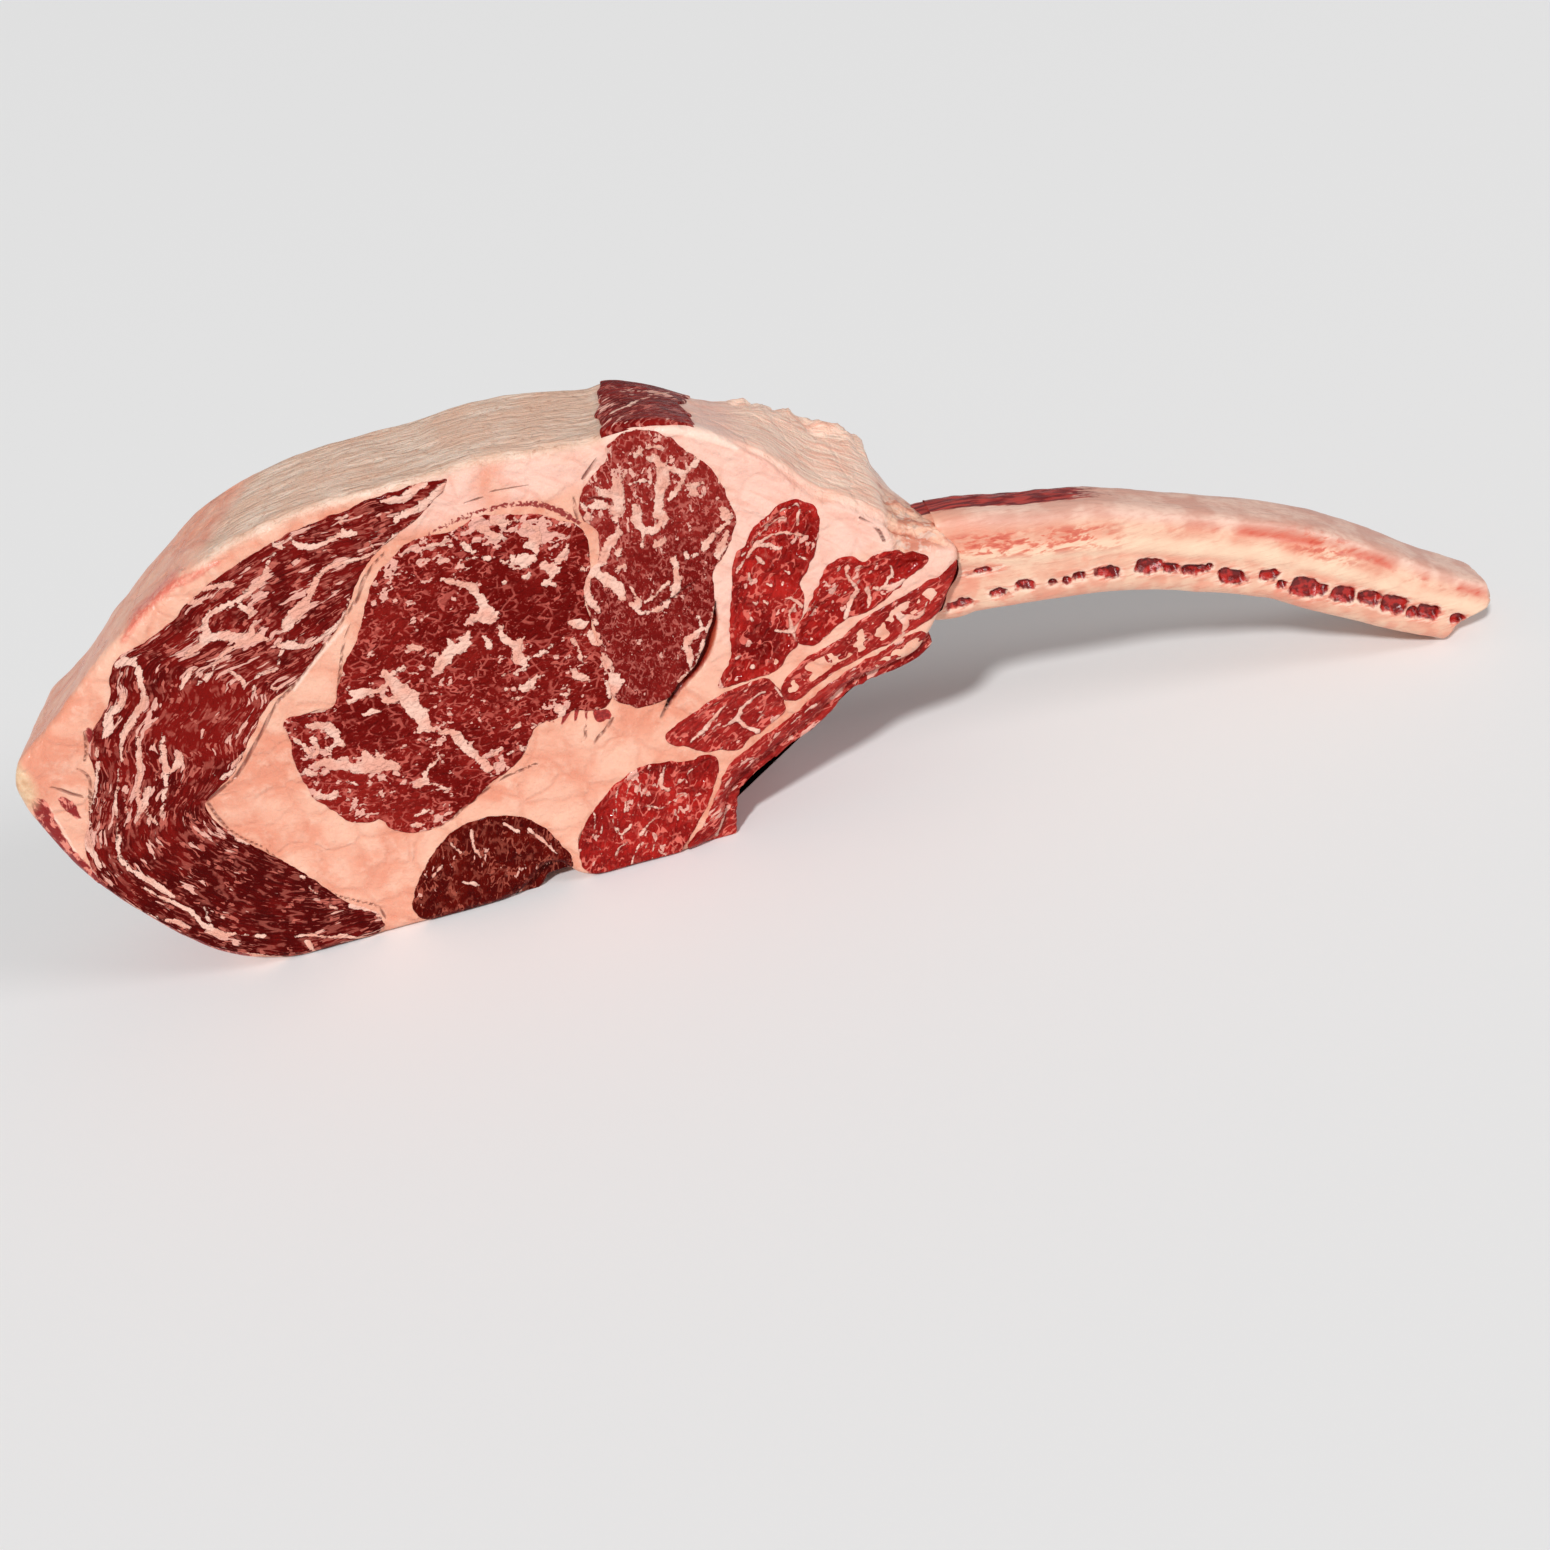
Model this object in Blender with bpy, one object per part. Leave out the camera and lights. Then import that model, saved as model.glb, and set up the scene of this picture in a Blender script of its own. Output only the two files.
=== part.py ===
"""A raw tomahawk steak that stands on its trimmed lower edge.

The steak is drawn flat, as a butcher sees the cut face: x runs from the outer fat towards the end of the rib, y runs
up from the resting surface and z comes out of the face. The drawing's unit is 0.9 mm. An empty then stands it
upright, so that the face looks along -Y. The body is a slab of fat with a pocket for each muscle, and the muscles
fill those pockets from face to face. The muscles that lie over the rib are shallow, and the rib bone runs into a
socket between them.
"""

import math

import bmesh
import bpy
from mathutils import Matrix, Vector

UNIT = 0.0009  # one unit of the drawing, in metres

# Driving dimensions, in metres
THICKNESS = 55 * UNIT  # the slab of fat, from cut face to cut face
EDGE_ROUNDING = 4 * UNIT  # where the outer fat turns over into the cut faces
LEAN_PROUD = 0.5 * UNIT  # how far the muscles stand out of the fat on both faces
JOINT_GAP = 0.0003  # between a muscle or the bone and the fat round it
RIB_COVER = 4 * UNIT  # thickness of the muscles that lie over the rib
TEAR_DEPTH = 14 * UNIT  # of the open tear beside the crown muscle
DRAWING_TO_MIDDLE = 19.05 * UNIT  # from the drawing's x = 0 to the middle of the whole steak
OPENING = 0.4 * UNIT  # a cutter runs this much past the face it opens
HALF = THICKNESS / 2

# Outlines on the cut face, in units of the drawing, each a smooth closed curve through its points
BODY = (
    (-258, 86), (-254, 96), (-244, 103), (-234, 110), (-224, 118), (-212, 126), (-198, 134), (-184, 142),
    (-168, 148), (-150, 151.5), (-130, 153), (-108, 152.5), (-90, 153.5), (-70, 151.5), (-54, 150), (-44, 151.5),
    (-32, 149.5), (-22, 144.5), (-12, 138), (-3, 130.5), (3, 121.5), (9, 113.5), (17, 108), (25, 101.5),
    (31, 95.5), (38, 91.5), (45, 88), (49, 82.5), (47.5, 76), (43, 68.5), (38, 61), (33, 55),
    (28, 50.5), (18, 48), (8, 46.5), (0, 43.5), (-8, 37.5), (-18, 32.5), (-28, 27.5), (-38, 22),
    (-44, 15.5), (-46.5, 8), (-51, 2.5), (-62, 0), (-78, 0), (-92, 0), (-99, 3), (-103, 8.5),
    (-108, 9.5), (-113, 5.5), (-121, 1), (-134, 0), (-148, 0), (-164, 0), (-180, 0), (-196, 0),
    (-210, 3.5), (-220, 9), (-229, 18), (-238, 30), (-246, 43), (-252, 57), (-256, 71),
)
CAP_MUSCLE = (
    (-97, 149.5), (-104, 150.5), (-113, 150.5), (-121, 150), (-130, 148.5), (-141, 147.5), (-152, 145.5),
    (-162, 142.5), (-172, 139), (-181, 135), (-190, 129.5), (-200, 125), (-210, 122.5), (-215, 117), (-219, 108),
    (-226, 102), (-231, 94), (-233, 84), (-239, 74), (-245, 63), (-247, 54), (-244.5, 44), (-239, 35),
    (-232, 25.5), (-225, 17), (-216, 9.5), (-206, 4), (-198, -1.5), (-190, -3), (-178, -3), (-169.5, -1.5),
    (-165, 4), (-166, 10), (-172, 15), (-177, 22), (-182, 30), (-188, 38), (-193, 44), (-199, 52), (-203, 60),
    (-203, 66.5), (-196, 70.5), (-189, 76), (-181, 85), (-172, 94), (-160, 99.5), (-151, 107), (-141, 115),
    (-134, 124), (-127, 131), (-117, 136.5), (-107, 141.5), (-100, 146),
)
EYE_MUSCLE = (
    (-113, 133), (-103, 134.5), (-92, 135), (-82, 133), (-74, 129.5), (-67, 124), (-63.5, 117), (-65, 110),
    (-70, 103), (-72.5, 95), (-71, 87), (-70.5, 79), (-71, 71), (-72, 64), (-77, 60), (-85, 62),
    (-93, 62.5), (-100, 61), (-105, 56), (-112, 50.5), (-121, 45), (-131, 40), (-141, 37), (-150, 38.5),
    (-157, 43), (-164, 48), (-169, 55), (-171.5, 63), (-172, 72), (-170.5, 80), (-168, 85), (-161, 86.5),
    (-155, 87), (-151, 92), (-147, 99), (-140, 107), (-134, 115), (-128, 123), (-121, 129),
)
CROWN_MUSCLE = (
    (-56, 137), (-50, 141), (-42, 142), (-34, 141.5), (-27.5, 137.5), (-22.5, 131.5), (-18.5, 125), (-17.5, 117),
    (-19.5, 109.5), (-25, 103.5), (-29, 98), (-30.5, 90), (-34, 82), (-40, 74), (-48, 66.5), (-56, 61),
    (-63, 59.5), (-67.5, 63), (-68.5, 71), (-67, 80), (-67, 89), (-68, 98), (-65, 105), (-59.5, 112),
    (-60, 119), (-62.5, 125.5), (-61.5, 132),
)
TOP_MUSCLE = (
    (-53, 144.8), (-53.5, 150), (-52, 158), (-40, 160), (-24, 158), (-18, 150), (-21.5, 141.5), (-27, 142.2),
    (-33, 144.8), (-41, 145.2), (-48, 144.4),
)
COSTAL_MUSCLE = (
    (2, 112.5), (6, 107.5), (5.5, 101), (3, 94.5), (-1, 88.5), (-4, 83), (-6, 77), (-9, 71),
    (-10.5, 65), (-16, 60.5), (-24, 59), (-34, 59), (-31, 64.5), (-28.5, 71), (-27.5, 79), (-25.5, 88),
    (-22, 97), (-18, 103), (-11, 108.5), (-4, 111.5),
)
STRIP_MUSCLE = (
    (-56.5, 45), (-50, 48.5), (-42, 51), (-34, 54.5), (-26, 56.5), (-21, 54.5), (-22, 50), (-20.5, 45.5),
    (-21, 42), (-27, 39.5), (-33, 36.5), (-38, 35), (-43, 37), (-50, 40), (-54, 42),
)
FLANK_MUSCLE = (
    (-44, 33), (-44.5, 28), (-48, 22), (-52, 15.5), (-57, 9.5), (-62.5, 3), (-67, -2.5), (-79, -3),
    (-89, -2.5), (-94.5, 2.5), (-95.8, 9), (-94, 16), (-89.5, 22), (-84, 27.5), (-77, 33), (-69, 36.5), (-60, 36),
    (-53, 34), (-48, 34.5),
)
SKIRT_MUSCLE = (
    (-60, 2), (-58, -3), (-47, -2), (-43, 6), (-41, 14), (-35, 20), (-26, 25), (-16, 30), (-6, 35),
    (2, 41), (9, 44), (19, 45.5), (28, 47.5), (33, 52), (31, 57.5), (26, 57.6), (18, 54.8), (8, 51.8),
    (-3, 47.2), (-12, 42), (-21, 37.6), (-31, 33.4), (-39, 28.5), (-44.5, 21.5), (-49, 14.5), (-54.5, 7.5),
)
CHAIN_MUSCLE = (
    (-154, 6.5), (-151.5, 13), (-147, 19), (-141.5, 25.5), (-134, 31), (-125, 33.5), (-116, 32.5), (-109, 29),
    (-104, 23), (-101.2, 16.5), (-99.8, 10.5), (-101.5, 5.5), (-108, 5), (-113, 0.5), (-120, -3), (-132, -3),
    (-145, -2.5), (-151, 1),
)
RIB_MUSCLE_UPPER = (
    (12, 89.5), (7, 87.5), (3, 82), (-1, 75.5), (-5, 69.5), (-5, 66.2), (0, 66.8), (8, 70), (15, 73.5),
    (24, 77), (33, 80), (38, 83.2), (34, 86.5), (26, 87.5), (19, 87),
)
TEAR = (
    (-31, 91), (-30.2, 85), (-33.2, 78), (-37.5, 72.5), (-42.5, 66), (-48.5, 60), (-57, 51.5), (-59.5, 53),
    (-53, 60.5), (-48, 65.6), (-41.5, 72), (-36, 79), (-33, 85),
)
RIB_MUSCLE_LOWER = (
    (45, 78.5), (41, 77), (34, 74), (26, 71.5), (17, 69), (8, 65), (-2, 60.5), (-11, 57), (-17, 52.5),
    (-18.5, 47.5), (-15, 45.2), (-6, 49.2), (3, 54), (13, 58), (24, 61), (32, 63), (38, 67), (43, 73),
)

# The rib from its root in the meat to its sawn end: x, y, half height, front of the bone, back of the bone
RIB = (
    (6, 66, 8, -9, 9), (20, 71, 11.5, -13, 10), (33, 74.4, 15.5, -19, 8), (42, 75, 17, -22, 5.5),
    (52, 74.8, 16.8, -23.5, 3.5), (70, 72.4, 15.7, -26.5, 2), (90, 69, 15.4, -27.5, 1.5), (110, 62.7, 14.2, -27.5, 2),
    (130, 55.3, 13.8, -27.5, 3), (150, 46.4, 14.2, -27.5, 4), (165, 37.6, 14.6, -27.5, 5), (180, 28.2, 14, -27.5, 5),
    (195, 18.5, 13, -27.5, 4), (208, 11, 12.2, -27, 3), (222, 3, 11.4, -25.5, 1),
)
# Where the rib's end was broken off, as a straight-sided outline of what is gone
BROKEN_END = (
    (200, -20), (202.2, -1), (203, 0.6), (206.5, 6), (212, 8.2), (217.5, 9.9), (219.6, 12.5), (219.8, 18),
    (217.5, 23), (212, 32), (240, 40), (240, -20),
)
RIB_RINGS_PER_SPAN = 2
RIB_RING_POINTS = 24
SAWN_FACE_POWER = 5.0  # how square the section is on its sawn front
OUTER_FACE_POWER = 2.6  # and on its rounded back

# Marrow cells that the saw opened along the rib's front: x, length and height
MARROW_CELLS = (
    (46, 6, 3), (57, 5, 3), (66, 6, 2.6), (78, 5, 3), (85, 5, 3), (92.5, 7, 3.4), (105, 9, 5), (121, 9, 3.4),
    (134, 11, 4.4), (146, 5, 3.2), (155, 11, 5.4), (168, 9, 5.6), (177, 7, 4.6), (184.5, 8, 6), (196, 9, 5),
)
CELL_DEPTH = 2.4 * UNIT
CELL_ROW = -0.42  # how far below the rib's middle the row runs, as a share of the half height

# The back face isn't a copy of the front. Each entry is a place on the face, how far round it the shape is moved,
# and how far its far edge lies from its front edge.
BACK_SHIFTS = (
    ((-22, 146), 26, (0, -9)),
    ((14, 118), 20, (5, 7)),
    ((33, 97), 16, (4, 6)),
    ((52, 80), 14, (-14, 0)),
    ((-230, 105), 40, (3, -2)),
    ((-118, 88), 40, (5, -4)),
    ((-205, 66), 30, (-4, 3)),
)


def smooth_loop(points, steps):
    """A closed Catmull-Rom curve through the points, in metres, with so many steps from one point to the next."""
    count = len(points)
    loop = []
    for i in range(count):
        before, start, end, after = (Vector(points[(i + k) % count]) for k in (-1, 0, 1, 2))
        for step in range(steps):
            t = step / steps
            loop.append(
                0.5 * UNIT * (
                    2 * start + (end - before) * t + (2 * before - 5 * start + 4 * end - after) * t**2
                    + (3 * start - before - 3 * end + after) * t**3
                )
            )
    return loop


def smooth_stations(stations, steps):
    """The same curve for an open row of stations, its first and last repeated."""
    rows = [stations[0], *stations, stations[-1]]
    smooth = []
    for before, start, end, after in zip(rows, rows[1:], rows[2:], rows[3:]):
        for step in range(steps):
            t = step / steps
            smooth.append([
                0.5 * (2 * b + (c - a) * t + (2 * a - 5 * b + 4 * c - d) * t**2 + (3 * b - a - 3 * c + d) * t**3)
                for a, b, c, d in zip(before, start, end, after)
            ])
    smooth.append(list(stations[-1]))
    return smooth


def meat(name, colour, roughness):
    """A moist, non-metallic material."""
    made = bpy.data.materials.new(name)
    made.use_nodes = True
    shader = made.node_tree.nodes["Principled BSDF"]
    shader.inputs["Base Color"].default_value = (*colour, 1)
    shader.inputs["Roughness"].default_value = roughness
    shader.inputs["Metallic"].default_value = 0
    made.diffuse_color = (*colour, 1)
    return made


def into(collection, name, mesh, material=None):
    """An object of this mesh in the collection, hung on the steak's empty."""
    made = bpy.data.objects.new(name, mesh)
    collection.objects.link(made)
    made.parent = upright
    if material:
        mesh.materials.clear()
        mesh.materials.append(material)
    return made


def plate(name, outline, back, front, rounding=0.0, grow=0.0, steps=2, lowest=-1.0):
    """The outline as a flat filled curve, thickened from back to front and rounded at its edges, as a mesh."""
    flat = bpy.data.curves.new(name, "CURVE")
    flat.dimensions = "2D"
    flat.fill_mode = "BOTH"
    flat.extrude = (front - back) / 2 - rounding
    flat.bevel_depth = rounding
    flat.bevel_resolution = 1
    flat.offset = grow - rounding
    points = smooth_loop(outline, steps)
    spline = flat.splines.new("POLY")
    spline.points.add(len(points) - 1)
    for place, point in zip(spline.points, points):
        place.co = (point.x, max(point.y, lowest), 0, 1)
    spline.use_cyclic_u = True
    holder = bpy.data.objects.new(name, flat)
    bpy.context.scene.collection.objects.link(holder)
    graph = bpy.context.evaluated_depsgraph_get()
    mesh = bpy.data.meshes.new_from_object(holder.evaluated_get(graph))
    bpy.data.objects.remove(holder)
    mesh.transform(Matrix.Translation((0, 0, (front + back) / 2)))
    shape = bmesh.new()
    shape.from_mesh(mesh)
    bmesh.ops.remove_doubles(shape, verts=shape.verts, dist=1e-6)
    bmesh.ops.dissolve_limit(shape, angle_limit=0.002, verts=shape.verts, edges=shape.edges)
    bmesh.ops.recalc_face_normals(shape, faces=shape.faces)
    shape.to_mesh(mesh)
    shape.free()
    return mesh


def rib_ring(x, y, half_height, front, back, tangent, grow):
    """One section of the rib, square to its run: a super-ellipse, squarer on the sawn front than on the back."""
    across = Vector((-tangent.y, tangent.x))
    half_depth = (back - front) / 2 + grow
    middle = (back + front) / 2
    ring = []
    for k in range(RIB_RING_POINTS):
        turn = math.tau * k / RIB_RING_POINTS
        side, up = math.cos(turn), math.sin(turn)
        power = SAWN_FACE_POWER if side < 0 else OUTER_FACE_POWER
        size = (abs(side) ** power + abs(up) ** power) ** (-1 / power)
        place = Vector((x, y)) + across * (up * size * (half_height + grow))
        ring.append(Vector((place.x, place.y, -(middle + side * size * half_depth))) * UNIT)
    return ring


def rib_mesh(name, grow=0.0):
    """The rib as a loft of its sections, closed at both ends. Grow thickens it, in units of the drawing."""
    stations = smooth_stations(RIB, RIB_RINGS_PER_SPAN)
    shape = bmesh.new()
    rings = []
    for i, (x, y, *sizes) in enumerate(stations):
        ahead, behind = stations[min(i + 1, len(stations) - 1)], stations[max(i - 1, 0)]
        tangent = Vector((ahead[0] - behind[0], ahead[1] - behind[1])).normalized()
        if i in (0, len(stations) - 1):
            end = -1 if i == 0 else 1
            x, y = x + end * grow * tangent.x, y + end * grow * tangent.y
        rings.append([shape.verts.new(point) for point in rib_ring(x, y, *sizes, tangent, grow)])
    for ring, following in zip(rings, rings[1:]):
        for k in range(RIB_RING_POINTS):
            after = (k + 1) % RIB_RING_POINTS
            shape.faces.new((ring[k], ring[after], following[after], following[k]))
    shape.faces.new(rings[0])
    shape.faces.new(rings[-1])
    bmesh.ops.recalc_face_normals(shape, faces=shape.faces)
    mesh = bpy.data.meshes.new(name)
    shape.to_mesh(mesh)
    shape.free()
    return mesh


def marrow_cell(collection, x, length, height):
    """A cutter for one marrow cell: an ellipsoid on the rib's front, turned to the rib's run."""
    stations = smooth_stations(RIB, 12)
    at = min(range(1, len(stations) - 1), key=lambda i: abs(stations[i][0] - x))
    run = Vector((stations[at + 1][0] - stations[at - 1][0], stations[at + 1][1] - stations[at - 1][1])).normalized()
    row = Vector(stations[at][:2]) + Vector((-run.y, run.x)) * CELL_ROW * stations[at][2]
    bpy.ops.mesh.primitive_uv_sphere_add(segments=12, ring_count=6, radius=1)
    cell = bpy.context.object
    cell.name = "marrow_cell"
    for held_in in list(cell.users_collection):
        held_in.objects.unlink(cell)
    collection.objects.link(cell)
    turn = Matrix.Rotation(math.atan2(run.y, run.x), 4, "Z")
    size = Matrix.Diagonal((length / 2 * UNIT, height / 2 * UNIT, CELL_DEPTH, 1))
    place = Matrix.Translation(Vector((row.x, row.y, -stations[at][3])) * UNIT)
    cell.data.transform(place @ turn @ size)
    cell.parent = upright
    return cell


def join_by(target, operation, other):
    """Applies one Boolean between the target and an object or a collection of cutters."""
    boolean = target.modifiers.new(operation.title(), "BOOLEAN")
    boolean.operation = operation
    boolean.solver = "EXACT"
    if isinstance(other, bpy.types.Collection):
        boolean.operand_type = "COLLECTION"
        boolean.collection = other
    else:
        boolean.object = other
    graph = bpy.context.evaluated_depsgraph_get()
    done = bpy.data.meshes.new_from_object(target.evaluated_get(graph))
    target.modifiers.remove(boolean)
    target.data = done


def set_back(obj):
    """Moves every point of the slab and its muscles by the back shifts, in proportion to its depth."""
    for vertex in obj.data.vertices:
        share = (HALF - vertex.co.z) / THICKNESS
        moved = Vector((0, 0))
        for centre, reach, shift in BACK_SHIFTS:
            away = (vertex.co.xy / UNIT - Vector(centre)).length / reach
            moved += Vector(shift) * math.exp(-away * away)
        lift = min(1, max(vertex.co.y / UNIT, 0) / 40)
        vertex.co.x += moved.x * share * lift * UNIT
        vertex.co.y += moved.y * share * lift * UNIT


def clear(collection):
    """Removes the collection and the helpers in it."""
    for helper in list(collection.objects):
        bpy.data.objects.remove(helper)
    bpy.data.collections.remove(collection)


for old in list(bpy.data.objects):
    bpy.data.objects.remove(old)
steak = bpy.data.collections.new("tomahawk_steak")
cutters = bpy.data.collections.new("cutters")
for made in (steak, cutters):
    bpy.context.scene.collection.children.link(made)
upright = bpy.data.objects.new("upright", None)
steak.objects.link(upright)
upright.rotation_euler = (math.pi / 2, 0, 0)
upright.location = (DRAWING_TO_MIDDLE, 0, 0)

FAT = meat("fat", (0.80, 0.52, 0.40), 0.42)
DARK_LEAN = meat("dark_lean", (0.13, 0.012, 0.012), 0.35)
LEAN = meat("lean", (0.24, 0.018, 0.018), 0.34)
BRIGHT_LEAN = meat("bright_lean", (0.40, 0.022, 0.020), 0.32)
BONE = meat("bone", (0.78, 0.55, 0.43), 0.45)

# Each muscle: its outline, its material, how far back it reaches and where its front is
THROUGH = (-HALF - LEAN_PROUD, HALF + LEAN_PROUD)
FRONT_COVER = (HALF - RIB_COVER, HALF + LEAN_PROUD)
BACK_COVER = (-HALF - LEAN_PROUD, -HALF + RIB_COVER)
MUSCLES = {
    "cap_muscle": (CAP_MUSCLE, DARK_LEAN, THROUGH),
    "eye_muscle": (EYE_MUSCLE, LEAN, THROUGH),
    "crown_muscle": (CROWN_MUSCLE, LEAN, THROUGH),
    "top_muscle": (TOP_MUSCLE, LEAN, THROUGH),
    "costal_muscle": (COSTAL_MUSCLE, BRIGHT_LEAN, THROUGH),
    "strip_muscle": (STRIP_MUSCLE, BRIGHT_LEAN, THROUGH),
    "flank_muscle": (FLANK_MUSCLE, BRIGHT_LEAN, THROUGH),
    "skirt_muscle": (SKIRT_MUSCLE, BRIGHT_LEAN, THROUGH),
    "chain_muscle": (CHAIN_MUSCLE, DARK_LEAN, THROUGH),
    "rib_muscle_upper": (RIB_MUSCLE_UPPER, BRIGHT_LEAN, FRONT_COVER),
    "rib_muscle_lower": (RIB_MUSCLE_LOWER, BRIGHT_LEAN, FRONT_COVER),
    "rib_muscle_back": (RIB_MUSCLE_UPPER, BRIGHT_LEAN, BACK_COVER),
}
body = into(steak, "fat_body", plate("fat_body", BODY, -HALF, HALF, rounding=EDGE_ROUNDING, lowest=0), FAT)
trimming = into(cutters, "trimming", plate("trimming", BODY, *THROUGH, rounding=EDGE_ROUNDING, lowest=0))
for name, (outline, material, (back, front)) in MUSCLES.items():
    at_back, at_front = back < -HALF, front > HALF
    ends = (back - OPENING * at_back, front + OPENING * at_front)
    muscle = into(steak, name, plate(name, outline, *ends), material)
    join_by(muscle, "INTERSECT", trimming)
    ends = (ends[0] - JOINT_GAP * (not at_back), ends[1] + JOINT_GAP * (not at_front))
    into(cutters, name + "_pocket", plate(name + "_pocket", outline, *ends, grow=JOINT_GAP))
bpy.data.objects.remove(trimming)
into(cutters, "tear", plate("tear", TEAR, HALF - TEAR_DEPTH, HALF + OPENING))
join_by(body, "DIFFERENCE", cutters)
for piece in steak.objects:
    if piece.type == "MESH":
        set_back(piece)
join_by(body, "DIFFERENCE", into(cutters, "rib_socket", rib_mesh("rib_socket", JOINT_GAP / UNIT)))
clear(cutters)

rib = into(steak, "rib_bone", rib_mesh("rib_bone"), BONE)
losses = bpy.data.collections.new("losses")
bpy.context.scene.collection.children.link(losses)
for cell in MARROW_CELLS:
    marrow_cell(losses, *cell)
into(losses, "broken_end", plate("broken_end", BROKEN_END, -THICKNESS, THICKNESS, steps=1))
join_by(rib, "DIFFERENCE", losses)
clear(losses)
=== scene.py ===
"""Looks for a raw tomahawk steak that stands on its trimmed lower edge.

Every outline here is drawn on the cut face in units of 0.9 mm: x along the steak from the outer fat to the
rib's broken end, z up from the resting surface, and y from the cut face at -28 through to the other at 28.
"""

import itertools

import bpy
import numpy as np
from mathutils import Matrix, Vector


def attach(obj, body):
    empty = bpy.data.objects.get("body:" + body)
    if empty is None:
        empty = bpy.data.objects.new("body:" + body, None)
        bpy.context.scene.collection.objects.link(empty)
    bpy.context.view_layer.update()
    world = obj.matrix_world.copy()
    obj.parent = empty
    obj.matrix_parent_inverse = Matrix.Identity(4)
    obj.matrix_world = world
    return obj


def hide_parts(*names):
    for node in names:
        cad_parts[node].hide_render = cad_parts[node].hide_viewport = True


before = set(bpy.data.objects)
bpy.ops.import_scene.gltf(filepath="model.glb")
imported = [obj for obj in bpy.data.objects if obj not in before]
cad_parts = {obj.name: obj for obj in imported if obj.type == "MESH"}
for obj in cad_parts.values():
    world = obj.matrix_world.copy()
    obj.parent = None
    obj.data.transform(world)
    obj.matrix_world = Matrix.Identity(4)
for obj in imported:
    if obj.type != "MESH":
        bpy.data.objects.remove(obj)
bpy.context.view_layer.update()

# The body of fat. It is a slab of hard white fat that holds the muscles: a wide wedge between the outer
# muscle and the eye, the seams between the others, and the outer cap, dried and wrinkled on top, which a saw
# and a knife cut off square on both faces.

UNIT = 0.0009  # metres in one unit of the drawing
MIDDLE = 19.05  # from the drawing's x = 0 to the middle of the whole steak
FACE = 28.0  # depth of the cut faces of the solids
FAT_FACE = 27.5  # and of the fat's, a little under them
ROUNDING = 4.0  # radius where the outer fat turns over into the cut faces

BODY = (
    (-258, 86), (-254, 96), (-244, 103), (-234, 110), (-224, 118), (-212, 126), (-198, 134), (-184, 142),
    (-168, 148), (-150, 151.5), (-130, 153), (-108, 152.5), (-90, 153.5), (-70, 151.5), (-54, 150),
    (-44, 151.5), (-32, 149.5), (-22, 144.5), (-12, 138), (-3, 130.5), (3, 121.5), (9, 113.5), (17, 108),
    (25, 101.5), (31, 95.5), (38, 91.5), (45, 88), (49, 82.5), (47.5, 76), (43, 68.5), (38, 61), (33, 55),
    (28, 50.5), (18, 48), (8, 46.5), (0, 43.5), (-8, 37.5), (-18, 32.5), (-28, 27.5), (-38, 22), (-44, 15.5),
    (-46.5, 8), (-51, 2.5), (-62, 0), (-78, 0), (-92, 0), (-99, 3), (-103, 8.5), (-108, 9.5), (-113, 5.5),
    (-121, 1), (-134, 0), (-148, 0), (-164, 0), (-180, 0), (-196, 0), (-210, 3.5), (-220, 9), (-229, 18),
    (-238, 30), (-246, 43), (-252, 57), (-256, 71),
)
# The rows on both faces of the body shrink to this line
SPINE = ((-195, 72), (6, 83))
# How far the back face is moved against the front one: where, how far round it, and the move
BACK_SHIFTS = (
    ((-22, 146), 26, (0, -9)), ((14, 118), 20, (5, 7)), ((33, 97), 16, (4, 6)), ((52, 80), 14, (-14, 0)),
    ((-230, 105), 40, (3, -2)), ((-118, 88), 40, (5, -4)), ((-205, 66), 30, (-4, 3)),
)


def flowing(points, count, closed=True):
    """So many points evenly spaced on a Catmull-Rom curve: between b and c, with a before and d after them,
    it is half of 2b + (c - a)t + (2a - 5b + 4c - d)t^2 + (3b - a - 3c + d)t^3."""
    p = np.asarray(points, float)
    if closed:
        a, b, c, d = np.roll(p, 1, 0), p, np.roll(p, -1, 0), np.roll(p, -2, 0)
    else:
        longer = np.concatenate([2 * p[:1] - p[1:2], p, 2 * p[-1:] - p[-2:-1]])
        a, b, c, d = longer[:-3], longer[1:-2], longer[2:-1], longer[3:]
    t = np.linspace(0, 1, 24, endpoint=False)[:, None, None]
    curve = 0.5 * (2 * b + (c - a) * t + (2 * a - 5 * b + 4 * c - d) * t**2 + (3 * b - a - 3 * c + d) * t**3)
    curve = curve.transpose(1, 0, 2).reshape(-1, p.shape[1])
    curve = np.concatenate([curve, p[:1] if closed else p[-1:]])
    walk = np.concatenate([[0], np.cumsum(np.linalg.norm(np.diff(curve[:, :2], axis=0), axis=1))])
    at = np.linspace(0, walk[-1], count, endpoint=not closed)
    return np.stack([np.interp(at, walk, column) for column in curve.T], -1)


def outward(outline):
    """Unit normals of a closed outline: its tangent turned a quarter turn, and pointing away from its
    middle."""
    along = np.roll(outline, -1, 0) - np.roll(outline, 1, 0)
    normal = np.stack([along[:, 1], -along[:, 0]], -1)
    normal /= np.linalg.norm(normal, axis=1, keepdims=True) + 1e-9
    x, z = outline.T
    area = np.sum(x * np.roll(z, -1) - np.roll(x, -1) * z)
    return normal * np.sign(area)


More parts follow.
